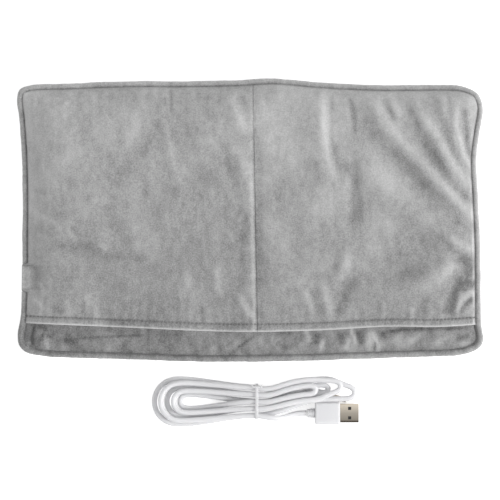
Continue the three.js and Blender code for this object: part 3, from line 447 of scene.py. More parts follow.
class Graph:
    """A material's nodes, added one at a time."""

    def __init__(self, name: str) -> None:
        """Starts an empty material with an output."""
        self.material = bpy.data.materials.new(name)
        self.material.use_nodes = True
        self.tree = self.material.node_tree
        self.tree.nodes.clear()
        self.output = self.tree.nodes.new("ShaderNodeOutputMaterial")

    def add(self, kind: str, settings: dict | None = None, **inputs: object) -> bpy.types.Node:
        """Adds a node with its settings, values and links.

        Args:
            kind: Node type, without its ShaderNode prefix.
            settings: Properties of the node.
            inputs: Socket values or the sockets that feed them; underscores stand for spaces.

        Returns:
            The new node.
        """
        node = self.tree.nodes.new("ShaderNode" + kind)
        for key, value in (settings or {}).items():
            setattr(node, key, value)
        for key, value in inputs.items():
            numbered = key[0] == "n" and key[1:].isdigit()
            socket = node.inputs[int(key[1:]) if numbered else key.replace("_", " ")]
            if isinstance(value, bpy.types.NodeSocket):
                self.tree.links.new(value, socket)
            else:
                socket.default_value = value
        return node

    def ramp(
        self, factor: bpy.types.NodeSocket, stops: Sequence[tuple[float, tuple]]
    ) -> bpy.types.NodeSocket:
        """Adds a colour ramp with the given stops and returns its colour."""
        node = self.add("ValToRGB", None, Fac=factor)
        elements = node.color_ramp.elements
        while len(elements) < len(stops):
            elements.new(0.5)
        for element, (position, colour) in zip(elements, stops):
            element.position = position
            element.color = colour
        return node.outputs["Color"]

    def close(self, surface: bpy.types.NodeSocket) -> bpy.types.Material:
        """Links the surface to the output and returns the material."""
        self.tree.links.new(surface, self.output.inputs["Surface"])
        return self.material


@dataclass(frozen=True)
class Plush:
    """Short-pile polyester plush: soft, matt, brushed this way and that in patches.

    Attributes:
        name: Name of the finish.
        dark: Colour at the dark end, where the pile leans towards the eye and where painted shade falls.
        light: Colour at the light end, where the pile leans away and shows its tips, and where painted light
            falls.
        patch_mm: Size of a brushed patch.
        streak_mm: Width of a streak left by a stroke of the hand.
        tuft_mm: Size of a tuft of pile; real fibres are far finer, so tufts are drawn instead.
        depth_mm: Depth of the bump that the tufts make.
        patches: How far the patches turn the shade, from 0 to 1.
        streaks: How far the streaks turn it.
        tufts: How far the tufts turn it.
        sheen: Light that the pile's tips throw back at a glancing angle.
    """

    name: str
    dark: str
    light: str
    patch_mm: float = 26.0
    streak_mm: float = 4.2
    tuft_mm: float = 0.85
    depth_mm: float = 0.22
    patches: float = 0.55
    streaks: float = 0.5
    tufts: float = 0.8
    sheen: float = 0.8

    def build(self) -> bpy.types.Material:
        """Builds the finish: brushed patches, streaks and fine tufts, the painted light and shade that each
        piece stores, and a soft sheen.
        """
        g = Graph(self.name)
        place = g.add("TexCoord").outputs["Object"]
        # patches and streaks run along Y, as a hand strokes the pile down
        stretch = g.add("Mapping", None, Vector=place, Scale=(1.0, 0.6, 1.0)).outputs["Vector"]
        shade: bpy.types.NodeSocket | float = 0.5
        for size, detail, turn, vector in (
            (self.patch_mm, 3.0, self.patches, stretch),
            (self.streak_mm, 3.0, self.streaks, stretch),
            (self.tuft_mm, 2.0, self.tufts, place),
        ):
            noise = g.add("TexNoise", None, Vector=vector, Scale=1 / (size * MM), Detail=detail,
                          Roughness=0.6).outputs["Fac"]
            centred = g.add("Math", {"operation": "SUBTRACT"}, n0=noise, n1=0.5).outputs[0]
            shade = g.add("Math", {"operation": "MULTIPLY_ADD"}, n0=centred, n1=turn, n2=shade).outputs[0]
        # the piece's painted light and painted shade of folds, seams and edges, with some random tone
        lift = g.add("Attribute", {"attribute_name": "painted_light_and_tone"}).outputs["Fac"]
        shade = g.add("Math", {"operation": "ADD"}, n0=shade, n1=lift).outputs[0]
        colour = g.ramp(shade, [(0.0, linear(self.dark)), (1.0, linear(self.light))])
        bump = g.add("Bump", None, Strength=0.7, Distance=self.depth_mm * MM, Height=noise).outputs["Normal"]
        shader = g.add("BsdfPrincipled", None, Base_Color=colour, Roughness=0.95, Normal=bump)
        shader.inputs["Specular IOR Level"].default_value = 0.1
        shader.inputs["Sheen Weight"].default_value = self.sheen
        shader.inputs["Sheen Roughness"].default_value = 0.35
        return g.close(shader.outputs["BSDF"])


@dataclass(frozen=True)
class Moulded:
    """Moulded plastic or rubber: even colour, a faint orange-peel skin and soft gloss.

    Attributes:
        name: Name of the finish.
        colour: Its colour.
        roughness: Mean roughness of the skin.
        grain_mm: Size of the skin's grain.
        depth_mm: Depth of the grain.
        milky: Share of the light that spreads under the skin.
        milky_reach_mm: How far that light spreads.
        spread: Change of roughness to each side of the mean.
        bump: Strength of the grain's bump.
    """

    name: str
    colour: str
    roughness: float
    grain_mm: float = 0.5
    depth_mm: float = 0.01
    milky: float = 0.0
    milky_reach_mm: float = 4.0
    spread: float = 0.06
    bump: float = 0.3

    def build(self) -> bpy.types.Material:
        """Builds the finish with a little change of roughness and a fine bump."""
        g = Graph(self.name)
        place = g.add("TexCoord").outputs["Object"]
        scale = 1 / (self.grain_mm * MM)
        grain = g.add("TexNoise", None, Vector=place, Scale=scale, Detail=2.0).outputs["Fac"]
        low, high = self.roughness - self.spread, self.roughness + self.spread
        rough = g.add("MapRange", None, Value=grain, To_Min=low, To_Max=high).outputs["Result"]
        bump = g.add("Bump", None, Strength=self.bump, Distance=self.depth_mm * MM, Height=grain)
        shader = g.add(
            "BsdfPrincipled", None, Base_Color=linear(self.colour), Roughness=rough,
            Subsurface_Weight=self.milky, Subsurface_Radius=(1.0, 1.0, 1.0),
            Subsurface_Scale=self.milky_reach_mm * MM, Normal=bump.outputs["Normal"],
        )
        return g.close(shader.outputs["BSDF"])


@dataclass(frozen=True)
class PlatedSteel:
    """Nickel-plated sheet steel, rolled along X: fine lines and a warm grey.

    Attributes:
        name: Name of the finish.
        colour: Its colour.
        roughness: Mean roughness.
        line_mm: Spacing of the rolling lines.
        across: Painted reflection: tints across the piece, from its -Y side to its +Y side.
        smoother: How far the lines go below the mean roughness.
        rougher: How far they go above it.
        stretch: Scale of the lines along X.
        bump: Strength of the lines' bump.
        depth_mm: Depth of the lines.
    """

    name: str
    colour: str
    roughness: float = 0.3
    line_mm: float = 0.25
    across: tuple[tuple[float, str], ...] = ()
    smoother: float = 0.08
    rougher: float = 0.1
    stretch: float = 0.04
    bump: float = 0.2
    depth_mm: float = 0.01

    def build(self) -> bpy.types.Material:
        """Builds the finish: lines along X change the roughness and make a shallow bump, and any painted
        reflection tints it across.
        """
        g = Graph(self.name)
        place = g.add("TexCoord").outputs["Object"]
        lines = g.add("Mapping", None, Vector=place, Scale=(self.stretch, 1.0, 1.0)).outputs["Vector"]
        scale = 1 / (self.line_mm * MM)
        grain = g.add("TexNoise", None, Vector=lines, Scale=scale, Detail=3.0).outputs["Fac"]
        low, high = self.roughness - self.smoother, self.roughness + self.rougher
        rough = g.add("MapRange", None, Value=grain, To_Min=low, To_Max=high)
        bump = g.add("Bump", None, Strength=self.bump, Distance=self.depth_mm * MM, Height=grain)
        tint = linear(self.colour)
        # painted reflection: the colour follows a ramp across the piece instead of the plain colour
        if self.across:
            place = g.add("SeparateXYZ", None, Vector=g.add("TexCoord").outputs["Generated"]).outputs["Y"]
            tint = g.ramp(place, [(at, linear(colour)) for at, colour in self.across])
        shader = g.add("BsdfPrincipled", None, Base_Color=tint, Metallic=1.0,
                       Roughness=rough.outputs["Result"], Normal=bump.outputs["Normal"])
        return g.close(shader.outputs["BSDF"])


@dataclass(frozen=True)
class Backdrop:
    """White studio floor: it takes the shadow, and shows white to the camera."""

    name: str = "studio_floor"
    glow: float = 0.6

    def build(self) -> bpy.types.Material:
        """Builds the floor: matt white, with some light of its own on straight and mirrored rays."""
        g = Graph(self.name)
        path = g.add("LightPath")
        seen = g.add("Math", {"operation": "MAXIMUM"}, n0=path.outputs["Is Camera Ray"],
                     n1=path.outputs["Is Glossy Ray"]).outputs[0]
        power = g.add("Math", {"operation": "MULTIPLY"}, n0=seen, n1=self.glow).outputs[0]
        glow = g.add("Emission", None, Color=(1.0, 1.0, 1.0, 1.0), Strength=power).outputs[0]
        matt = g.add("BsdfDiffuse", None, Color=(0.9, 0.9, 0.9, 1.0)).outputs[0]
        return g.close(g.add("AddShader", None, n0=matt, n1=glow).outputs[0])


@dataclass
class Finishes:
    """All the finishes of the foot warmer, built once."""

    plush: bpy.types.Material = field(init=False)
    lining: bpy.types.Material = field(init=False)
    thread: bpy.types.Material = field(init=False)
    jacket: bpy.types.Material = field(init=False)
    moulding: bpy.types.Material = field(init=False)
    tie: bpy.types.Material = field(init=False)
    steel: bpy.types.Material = field(init=False)
    shell: bpy.types.Material = field(init=False)
    gold: bpy.types.Material = field(init=False)
    black: bpy.types.Material = field(init=False)
    wadding: bpy.types.Material = field(init=False)
    felt: bpy.types.Material = field(init=False)
    wire: bpy.types.Material = field(init=False)

    def __post_init__(self) -> None:
        """Builds each finish."""
        self.plush = Plush("grey_plush", "686868", "c9c9c9").build()
        # the lining's grey is painted darker than the front's: painted shade for the shadow that it lies in
        # under the front's hem
        self.lining = Plush("grey_plush_inside_painted_shade", "565656", "bcbcbc", patch_mm=12.0, patches=0.8).build()
        # polyester sewing thread, a shade darker than the pile: its grey carries painted shade from the
        # stitched channel that it sinks into
        self.thread = Moulded("sewing_thread", "777777", 0.7, 0.3, 0.05).build()
        # PVC cable jacket: white, satin
        self.jacket = Moulded("pvc_jacket", "dedee0", 0.42, milky=1.0).build()
        # ABS plug body: white, a little glossier than the jacket
        self.moulding = Moulded("abs_moulding", "e2e2e4", 0.4, milky=0.6).build()
        # polythene-covered twist tie
        self.tie = Moulded("polythene_tie", "eaeaec", 0.35, milky=0.6).build()
        self.steel = PlatedSteel("plated_steel", "a9a298").build()
        # painted reflection: the tint runs from dark at the shell's -Y edge, for a dark room mirrored low
        # down, to light at its +Y edge, for the bright sky mirrored high up
        self.shell = PlatedSteel("shell_steel_painted_reflection", "a9a298", across=(
            (0.0, "2e2a26"), (0.07, "5a544c"), (0.14, "8c867c"),
            (0.5, "a49d92"), (0.85, "c9c0b2"), (1.0, "d6ccbc"),
        )).build()
        self.gold = PlatedSteel("gold_plating", "d0a850", 0.25).build()
        self.black = Moulded("black_nylon", "1c1c1e", 0.5).build()
        self.wadding = Plush("polyester_wadding", "d8d8d4", "f0f0ec").build()
        self.felt = Plush("needled_felt", "c8c6be", "dedcd4").build()
        self.wire = Moulded("silicone_wire", "a8352e", 0.5).build()


# The pouch


@dataclass
class PouchPlan:
    """Outline, edges and layer heights of the pouch, in millimetres.

    The outline is a loop of shares of half the width and depth, clockwise from the top left. The
    front panel is two patches that meet at the centre seam, and the lip two more below the hem.
    """

    width: float = 299.6
    depth: float = 182.0
    piping: float = 4.2
    tuck: float = 0.9
    reach: float = 26.0
    lining_seam: float = 2.9
    back_seam: float = 1.8
    back_inside: float = 7.1
    lining_inside: float = 12.8
    sheet: float = 0.8
    cover: float = 1.0
    filling: float = 2.1
    crown: float = 1.5
    inlet_y: float = -36.946
    inlet_half: float = 7.7
    slot_roof: float = 7.5
    seam_top: float = 0.012
    seam_foot: float = 0.031
    outline_shares: tuple[tuple[float, float], ...] = (
        (-1, 0.863), (-0.988, 0.923), (-0.939, 0.953), (-0.808, 0.962), (-0.52, 0.98), (-0.28, 0.98),
        (-0.044, 0.989), (0.106, 1), (0.261, 0.977), (0.428, 0.96), (0.574, 0.952), (0.849, 0.953),
        (0.918, 0.941), (0.975, 0.895), (0.998, 0.799), (0.985, 0.637), (0.97, 0.425), (0.978, 0.142),
        (0.987, -0.211), (0.989, -0.565), (0.991, -0.741), (1, -0.847), (0.978, -0.907),
        (0.905, -0.951), (0.772, -0.964), (0.458, -0.981), (0.188, -0.996), (-0.211, -1),
        (-0.52, -0.984), (-0.752, -0.973), (-0.894, -0.96), (-0.958, -0.936), (-0.99, -0.883),
        (-0.997, -0.812), (-0.986, -0.692), (-0.979, -0.487), (-0.977, -0.141), (-0.976, 0.213),
        (-0.981, 0.495), (-0.991, 0.722),
    )
    hem_shares: tuple[tuple[float, float], ...] = (
        (-0.97, -0.727), (-0.516, -0.757), (-0.211, -0.78), (0.029, -0.787), (0.304, -0.776),
        (0.596, -0.75), (0.797, -0.753), (0.975, -0.738),
    )

    def __post_init__(self) -> None:
        """Works out the four edges, the hem line and the seam ends."""
        half = np.array([self.width, self.depth]) / 2
        loop = self.loop(self.piping - self.tuck)
        shares = np.array(self.outline_shares)
        corners = ((-1, 1), (1, 1), (1, -1), (-1, -1))
        corner = {key: int(np.argmax(shares @ np.array(key))) * 12 for key in corners}
        top = self._side(loop, corner[(-1, 1)], corner[(1, 1)])
        right = self._side(loop, corner[(1, 1)], corner[(1, -1)])[::-1]
        bottom = self._side(loop, corner[(1, -1)], corner[(-1, -1)])[::-1]
        left = self._side(loop, corner[(-1, -1)], corner[(-1, 1)])
        hem = np.array(self.hem_shares) * half
        self.lip_left, self.front_left = self._split(left, 1, hem[0, 1])
        self.lip_right, self.front_right = self._split(right, 1, hem[-1, 1])
        hem = np.concatenate([self.front_left[:1], hem[1:-1], self.front_right[:1]])
        hem = centripetal(hem, False, 24)
        self.top_left, self.top_right = self._split(top, 0, self.seam_top * half[0])
        self.hem_left, self.hem_right = self._split(hem, 0, self.seam_foot * half[0])
        self.foot_left, self.foot_right = self._split(bottom, 0, self.seam_foot * half[0])
        self.front_seam = np.stack([self.hem_right[0], self.top_right[0]])
        self.lip_seam = np.stack([self.foot_right[0], self.hem_right[0]])
        self.panel = self.width / 2 - self.piping + self.tuck
        self.front_depth = float(self.top_right[0, 1] - self.hem_right[0, 1])
        self.lip_depth = float(self.hem_right[0, 1] - self.foot_right[0, 1])

    def loop(self, inset: float, steps: int = 12) -> Array:
        """The outline moved inwards, square to itself."""
        points = np.array(self.outline_shares) * np.array([self.width, self.depth]) / 2
        curve = centripetal(points, True, steps)
        ahead = np.roll(curve, -1, axis=0) - np.roll(curve, 1, axis=0)
        ahead /= np.linalg.norm(ahead, axis=1, keepdims=True)
        return curve + inset * np.stack([ahead[:, 1], -ahead[:, 0]], axis=-1)

    @staticmethod
    def _side(loop: Array, start: int, end: int) -> Array:
        """The stretch of a loop from one point to another, clockwise."""
        count = (end - start) % len(loop)
        return loop[(start + np.arange(count + 1)) % len(loop)]

    @staticmethod
    def _split(line: Array, axis: int, value: float) -> tuple[Array, Array]:
        """Cuts a line where one of its coordinates passes a value."""
        k = int(np.argmax(line[:, axis] >= value))
        share = (value - line[k - 1, axis]) / (line[k, axis] - line[k - 1, axis])
        middle = line[k - 1] + share * (line[k] - line[k - 1])
        return np.vstack([line[:k], middle]), np.vstack([middle, line[k:]])

    def patch(self, edges: tuple[Array, Array, Array, Array], a: Array, b: Array) -> Array:
        """A Coons patch: the two ruled surfaces between opposite edges, less the bilinear one.

        Args:
            edges: Bottom, top, left and right edges.
            a: Shares across, one per column.
            b: Shares up, one per row.

        Returns:
            Grid of places, rows by columns by 2.
        """
        bottom, top, left, right = edges
        low, high = along(bottom, a)[None], along(top, a)[None]
        near, far = along(left, b)[:, None], along(right, b)[:, None]
        u, v = a[None, :, None], b[:, None, None]
        ruled = low * (1 - v) + high * v + near * (1 - u) + far * u
        corners = low[:, :1] * (1 - u) * (1 - v) + low[:, -1:] * u * (1 - v)
        return ruled - corners - high[:, :1] * (1 - u) * v - high[:, -1:] * u * v

    def shift_at_inlet(self, places: Array, side: Array) -> Array:
        """Moves the cloth out to the edge of the piping at the inlet.

        Args:
            places: Grid of places.
            side: Distance of each place from the left seam.

        Returns:
            The moved places.
        """
        across = smooth((self.inlet_half + 1.8 - np.abs(places[..., 1] - self.inlet_y)) / 1.2)
        out = (self.piping - self.tuck) * across * np.clip(1 - side / 5.0, 0.0, 1.0)
        moved = places.copy()
        moved[..., 0] -= out
        return moved


def edge_spacing(length: float, fine: float, coarse: float, band: float) -> Array:
    """Distances from one edge: finely spaced in a band beside it, evenly beyond.

    Args:
        length: Whole distance.
        fine: Spacing in the band.
        coarse: Spacing beyond it.
        band: Width of the band.

    Returns:
        Distances from 0 to the whole length.
    """
    near = np.arange(0.0, band, fine)
    rest = np.linspace(band, length, int((length - band) / coarse) + 1)
    return np.concatenate([near, rest])


@dataclass
class FrontPlush:
    """The two halves of the plush front, with their seam, hem, creases and puckers, and the painted light and
    shade of their pile.
    """

    plan: PouchPlan
    finishes: Finishes
    hem_stitch: float = 4.9
    stitch_pitch: float = 2.45
    hem_fill: float = 12.0
    rim: float = 1.9
    folds: tuple[Fold, ...] = (
        # right half: the long crease from the top seam, steep on its right, and the hollow beyond its foot
        Fold(((44.5, 84.0), (44.5, 61.0), (45.5, 45.0), (48.5, 33.0)), 8.5, 3.0, 0.9),
        Fold(((66.5, 40.0), (66.0, 27.0), (67.5, 12.0), (68.5, -1.0)), 3.2, -1.8),
        Fold(((72.0, 40.0), (73.0, 29.0), (73.5, 16.0)), 7.0, 1.3, -0.6),
        Fold(((63.5, 78.0), (65.0, 67.5), (67.0, 57.0)), 2.4, -1.4),
        Fold(((40.5, 27.0), (40.5, -14.0)), 4.0, 0.5),
        Fold(((53.5, 18.0), (54.0, -19.0)), 2.2, -0.5),
        # right half: the fan of folds from the top seam to the right seam
        Fold(((67.5, 50.5), (78.0, 29.0), (92.0, 14.0), (104.0, 2.0), (114.5, -9.5)), 7.5, 2.9),
        Fold(((69.5, 58.0), (82.5, 42.0), (97.5, 27.0), (113.5, 14.0), (129.5, 1.0)), 5.0, -2.1),
        Fold(((77.0, 73.0), (90.0, 52.5), (105.0, 37.5), (120.0, 21.5), (142.0, -0.5)), 5.0, 3.3, 0.3),
        Fold(((88.0, 77.0), (94.0, 66.5)), 2.0, 1.1),
        Fold(((95.5, 68.5), (106.0, 50.5), (115.5, 35.5), (129.5, 18.5), (142.5, 6.5)), 3.6, -1.7),
        Fold(((103.0, 74.0), (114.5, 56.0), (121.0, 43.0), (129.5, 30.0), (141.0, 14.5)), 4.2, 2.9, 0.3),
        Fold(((121.5, 79.5), (124.0, 64.5)), 3.0, 1.5),
        Fold(((116.5, 76.0), (126.5, 47.0), (136.0, 27.0)), 3.2, -1.5),
        Fold(((129.5, 62.0), (132.0, 48.5), (136.5, 35.5), (139.5, 24.5)), 3.2, 2.6, 0.4),
        Fold(((136.0, 71.0), (137.0, 58.0), (139.0, 47.0)), 2.4, -1.7),
        # right half: the plump lower corner and what runs off it
        Fold(((78.0, -53.5), (91.0, -43.0), (108.0, -36.5), (123.0, -29.0), (131.0, -23.0)), 9.0, 3.2, 0.3),
        Fold(((133.0, -26.5), (130.0, -40.5), (127.5, -59.0)), 3.8, -3.2),
        Fold(((130.5, -56.5), (133.5, -49.0), (142.5, -45.0)), 2.8, 2.0),
        Fold(((136.0, -56.5), (142.5, -51.0)), 2.4, -1.5),
        Fold(((123.0, -15.0), (136.0, -21.5)), 3.0, -1.6),
        Fold(((126.5, -11.5), (136.0, -15.0), (143.5, -20.5)), 3.0, 1.7),
        Fold(((61.0, -19.0), (57.5, -31.0), (53.0, -40.5)), 3.6, 2.0, 0.4),
        Fold(((59.0, -40.5), (55.5, -49.0), (53.0, -61.0)), 3.0, -2.2),
        Fold(((45.5, -39.5), (46.5, -49.0), (48.5, -61.0)), 3.2, 1.2, 0.4),
        Fold(((32.0, -45.0), (38.5, -61.0)), 3.0, 1.5, 0.4),
        Fold(((86.5, -3.0), (89.5, -21.5)), 4.0, 1.0),
        # left half: soft creases from the top seam
        Fold(((-60.0, 81.5), (-57.0, 65.5), (-52.0, 44.0), (-48.5, 23.5), (-45.0, 14.0)), 3.6, 0.9, 0.6),
        Fold(((-52.0, 83.5), (-51.0, 66.5)), 1.6, -1.1),
        Fold(((-73.5, 73.0), (-77.5, 57.0), (-83.0, 44.0), (-87.0, 33.5)), 4.0, 0.6, 0.4),
        Fold(((-76.0, -1.0), (-76.0, -59.0)), 3.6, 0.7, 0.2),
        # left half: creases that lean on the centre seam
        Fold(((-13.5, 78.5), (-8.5, 65.5), (-3.5, 56.0)), 3.4, 1.5, 0.4),
        Fold(((-6.5, 81.5), (-1.5, 67.5)), 2.0, -1.0),
        Fold(((-15.5, 41.0), (-11.0, 15.0)), 4.2, -1.3),
        Fold(((-11.0, 47.0), (-5.5, 33.5), (-1.5, 18.5), (0.0, -3.0), (1.0, -40.5)), 3.0, 1.2, 0.5),
        Fold(((-8.5, -49.0), (-1.0, -61.0)), 3.4, 1.7, 0.3),
        Fold(((-23.5, -32.0), (-22.5, -47.0)), 3.2, 1.4, 0.4),
        Fold(((-42.5, -29.0), (-40.5, -44.0)), 3.0, 0.9, 0.2),
        # left half: what runs in from the left seam
        Fold(((-140.5, 0.0), (-124.5, -9.5), (-112.5, -16.0), (-91.0, -23.5)), 4.0, -1.3),
        Fold(((-140.5, 9.5), (-121.0, 1.0), (-110.5, -6.5), (-95.5, -15.0)), 3.6, 0.9),
        Fold(((-141.0, 21.5), (-130.5, 17.5)), 2.2, -1.0),
        Fold(((-140.5, -49.0), (-131.0, -60.0)), 2.6, 0.9),
        Fold(((-139.5, -33.0), (-133.0, -38.5)), 3.0, -0.3),
    )

    # bands of painted light and painted shade on the folds and seams of the front
    strokes: tuple[PaintedShade, ...] = (
        # right half, upper part: painted light on the long crease, and painted shade beside and below it
        PaintedShade(((48.5, 85.0), (47.0, 70.0), (47.5, 55.0), (49.0, 43.0), (51.5, 33.0), (56.0, 24.0)),
               2.9, 0.22),
        PaintedShade(((52.5, 80.0), (52.5, 60.0), (53.0, 48.0)), 1.4, -0.1),
        PaintedShade(((53.0, 51.0), (54.5, 41.0), (58.5, 31.0)), 2.0, -0.15),
        PaintedShade(((62.5, 80.0), (65.5, 72.0), (66.0, 65.0), (67.5, 55.0)), 2.0, -0.22),
        PaintedShade(((61.5, 38.0), (65.5, 29.0), (67.5, 20.0), (67.5, 8.0), (67.5, -3.0)), 4.2, -0.24),
        PaintedShade(((42.0, 39.0), (43.0, 30.0), (45.0, 20.0)), 3.0, -0.09),
        PaintedShade(((48.0, 26.0), (57.0, 18.0)), 6.0, -0.06),
        PaintedShade(((75.0, 38.0), (85.0, 27.0), (98.0, 18.0), (110.0, 5.0)), 6.0, 0.08),
        PaintedShade(((5.5, 58.0), (5.5, 20.0), (6.0, -30.0), (6.0, -60.0)), 3.6, -0.12),
        # right half, upper part: painted light and painted shade on the sides of the fan
        PaintedShade(((72.5, 69.0), (80.0, 57.0), (89.0, 47.0), (99.0, 37.0), (108.0, 28.0)), 5.2, -0.15),
        PaintedShade(((107.0, 28.0), (114.0, 20.0), (122.0, 13.0), (130.0, 7.0), (137.0, -1.0)), 5.0, -0.14),
        PaintedShade(((112.0, 7.0), (121.0, 8.0)), 3.4, -0.12),
        PaintedShade(((80.5, 82.0), (84.0, 70.0), (91.0, 58.0), (101.0, 47.0), (111.0, 36.0)), 3.2, 0.16),
        PaintedShade(((109.0, 38.0), (119.0, 28.0), (128.0, 18.0), (136.0, 9.0), (143.0, 0.0)), 2.8, 0.18),
        PaintedShade(((80.0, 60.0), (105.0, 38.0), (130.0, 14.0)), 24.0, -0.045),
        PaintedShade(((85.0, 78.0), (90.0, 68.0), (93.0, 63.0)), 1.7, -0.14),
        PaintedShade(((90.0, 82.0), (93.0, 73.0), (99.0, 66.0)), 1.9, 0.12),
        PaintedShade(((100.0, 75.0), (105.0, 67.0), (110.0, 57.0), (116.0, 46.0)), 3.2, -0.15),
        PaintedShade(((115.0, 48.0), (122.0, 37.0), (127.0, 29.0), (133.0, 20.0), (142.0, 11.0)), 3.0, -0.2),
        PaintedShade(((110.0, 71.0), (115.0, 62.0), (121.0, 53.0), (127.0, 41.0), (134.0, 31.0), (142.0, 22.0)),
               2.2, 0.18),
        PaintedShade(((116.0, 76.0), (120.0, 65.0), (126.0, 55.0), (131.0, 44.0), (136.0, 35.0)), 2.6, -0.1),
        PaintedShade(((124.0, 81.0), (125.5, 69.0)), 1.8, 0.1),
        PaintedShade(((128.0, 80.0), (128.5, 66.0)), 1.4, -0.09),
        PaintedShade(((133.0, 73.0), (132.0, 62.0), (135.0, 50.0), (138.0, 41.0), (142.5, 32.0)), 1.6, 0.2),
        PaintedShade(((137.5, 74.0), (138.5, 60.0), (139.5, 48.0), (142.0, 39.0)), 2.0, -0.28),
        # right half, lower part
        PaintedShade(((64.5, -20.0), (62.5, -30.0), (58.0, -40.0)), 2.8, 0.14),
        PaintedShade(((68.5, -37.0), (63.0, -46.0), (60.0, -52.0), (57.0, -61.0)), 2.8, -0.15),
        PaintedShade(((46.0, -41.0), (49.0, -49.0), (51.0, -58.0), (51.0, -64.0)), 2.3, 0.14),
        PaintedShade(((35.0, -44.0), (38.0, -53.0), (40.5, -61.0)), 2.0, 0.14),
        PaintedShade(((88.0, 1.0), (89.0, -9.0), (91.5, -22.0)), 2.8, 0.08),
        PaintedShade(((100.0, 4.0), (107.0, -8.0), (113.0, -21.0)), 5.5, -0.12),
        PaintedShade(((118.0, -9.0), (124.0, -14.0), (129.0, -20.0)), 3.0, -0.15),
        PaintedShade(((127.0, -10.0), (134.0, -15.0), (143.0, -20.0)), 3.2, 0.19),
        PaintedShade(((132.0, 0.0), (137.0, -4.0), (143.0, -10.0)), 1.8, -0.11),
        PaintedShade(((132.0, -26.0), (126.0, -33.0), (117.0, -40.0), (104.0, -47.0)), 4.2, 0.14),
        PaintedShade(((114.0, -29.0), (100.0, -35.0), (84.0, -43.0)), 4.6, -0.1),
        PaintedShade(((135.0, -22.0), (139.0, -28.0), (142.0, -37.0)), 4.4, -0.24),
        PaintedShade(((134.0, -35.0), (131.5, -44.0), (129.0, -53.0), (128.5, -62.0)), 2.8, -0.26),
        PaintedShade(((136.5, -39.0), (137.0, -46.0)), 4.0, -0.2),
        PaintedShade(((137.0, -38.0), (144.0, -42.0)), 3.0, -0.22),
        PaintedShade(((132.5, -60.0), (135.0, -53.0), (138.0, -49.0), (144.0, -45.0)), 2.0, 0.2),
        PaintedShade(((134.0, -60.0), (138.0, -54.0), (144.0, -50.0)), 1.8, -0.28),
        PaintedShade(((140.0, -61.0), (143.0, -54.0)), 1.8, 0.14),
        PaintedShade(((124.0, -61.0), (125.0, -54.0)), 1.4, -0.13),
        PaintedShade(((107.5, -58.0), (111.0, -51.0)), 1.4, -0.1),
        PaintedShade(((103.0, -60.0), (108.0, -49.0)), 2.0, 0.08),
        PaintedShade(((83.0, -61.0), (83.0, -52.0)), 1.1, -0.11),
        PaintedShade(((86.0, -61.0), (86.0, -52.0)), 1.1, 0.09),
        # left half, upper part
        PaintedShade(((-12.5, 82.0), (-8.0, 68.0), (-2.0, 57.0)), 2.8, 0.14),
        PaintedShade(((-6.5, 80.0), (-2.5, 73.0)), 1.5, -0.15),
        PaintedShade(((-10.5, 48.0), (-6.0, 41.0), (-1.5, 34.0)), 2.4, 0.13),
        PaintedShade(((-15.0, 42.0), (-12.0, 32.0), (-8.0, 19.0)), 3.0, -0.1),
        PaintedShade(((-55.0, 69.0), (-52.0, 55.0), (-49.0, 40.0), (-46.0, 24.0)), 2.0, 0.08),
        PaintedShade(((-55.0, 79.0), (-54.0, 72.5)), 1.2, -0.14),
        PaintedShade(((-50.5, 85.0), (-50.5, 69.0)), 0.9, -0.13),
        PaintedShade(((-53.0, 85.0), (-52.0, 78.0)), 0.9, 0.11),
        PaintedShade(((-42.0, 57.0), (-27.0, 57.0)), 5.5, -0.08),
        PaintedShade(((-38.0, 52.0), (-36.0, 45.0)), 4.0, -0.06),
        PaintedShade(((-67.0, 52.0), (-67.5, 30.0), (-67.0, 8.0)), 3.2, -0.07),
        PaintedShade(((-71.0, 70.0), (-75.0, 54.0), (-80.0, 44.0), (-84.0, 33.0)), 2.0, 0.05),
        PaintedShade(((-78.0, 67.0), (-83.0, 56.0), (-88.0, 46.0)), 3.6, -0.06),
        PaintedShade(((-106.0, 15.0), (-98.0, 9.0), (-89.0, 4.0)), 2.8, -0.09),
        PaintedShade(((-139.0, 19.0), (-130.0, 17.5)), 1.8, -0.12),
        PaintedShade(((-107.0, 48.0), (-97.0, 44.0), (-86.0, 41.0)), 2.6, -0.06),
        PaintedShade(((-27.0, 28.0), (-22.0, 10.0), (-20.0, -12.0)), 6.0, 0.05),
        # left half, lower part
        PaintedShade(((-130.0, -15.0), (-114.0, -18.0), (-104.0, -18.0), (-92.0, -23.0), (-75.0, -25.0)),
               3.2, -0.1),
        PaintedShade(((-140.0, 6.0), (-132.0, 2.0), (-124.0, -3.0), (-119.0, -9.0)), 2.2, 0.14),
        PaintedShade(((-119.0, -1.0), (-113.0, -12.0)), 1.5, 0.12),
        PaintedShade(((-138.0, -5.0), (-126.0, -10.0)), 2.6, -0.07),
        PaintedShade(((-138.0, -24.0), (-132.0, -25.0)), 1.8, -0.08),
        PaintedShade(((-126.0, -33.0), (-112.0, -37.0)), 7.0, -0.05),
        PaintedShade(((-84.0, -40.0), (-80.0, -46.0)), 3.2, -0.08),
        PaintedShade(((-126.0, -55.0), (-119.0, -60.0)), 2.6, -0.1),
        PaintedShade(((-107.0, -48.0), (-102.0, -54.0)), 1.8, 0.1),
        PaintedShade(((-88.0, -54.0), (-82.0, -60.0)), 2.2, 0.1),
        PaintedShade(((-74.0, -21.0), (-72.0, -27.0)), 2.2, -0.08),
        PaintedShade(((-104.0, 17.0), (-104.0, 11.0)), 1.6, -0.08),
        PaintedShade(((-98.0, -14.5), (-91.0, -19.0)), 1.8, 0.08),
        PaintedShade(((-61.0, 6.0), (-57.0, -9.0)), 4.0, -0.06),
        PaintedShade(((-30.8, -54.0), (-30.8, -69.0)), 0.8, -0.16),
        PaintedShade(((-22.5, -31.0), (-20.0, -38.0), (-20.0, -47.0)), 2.4, 0.12),
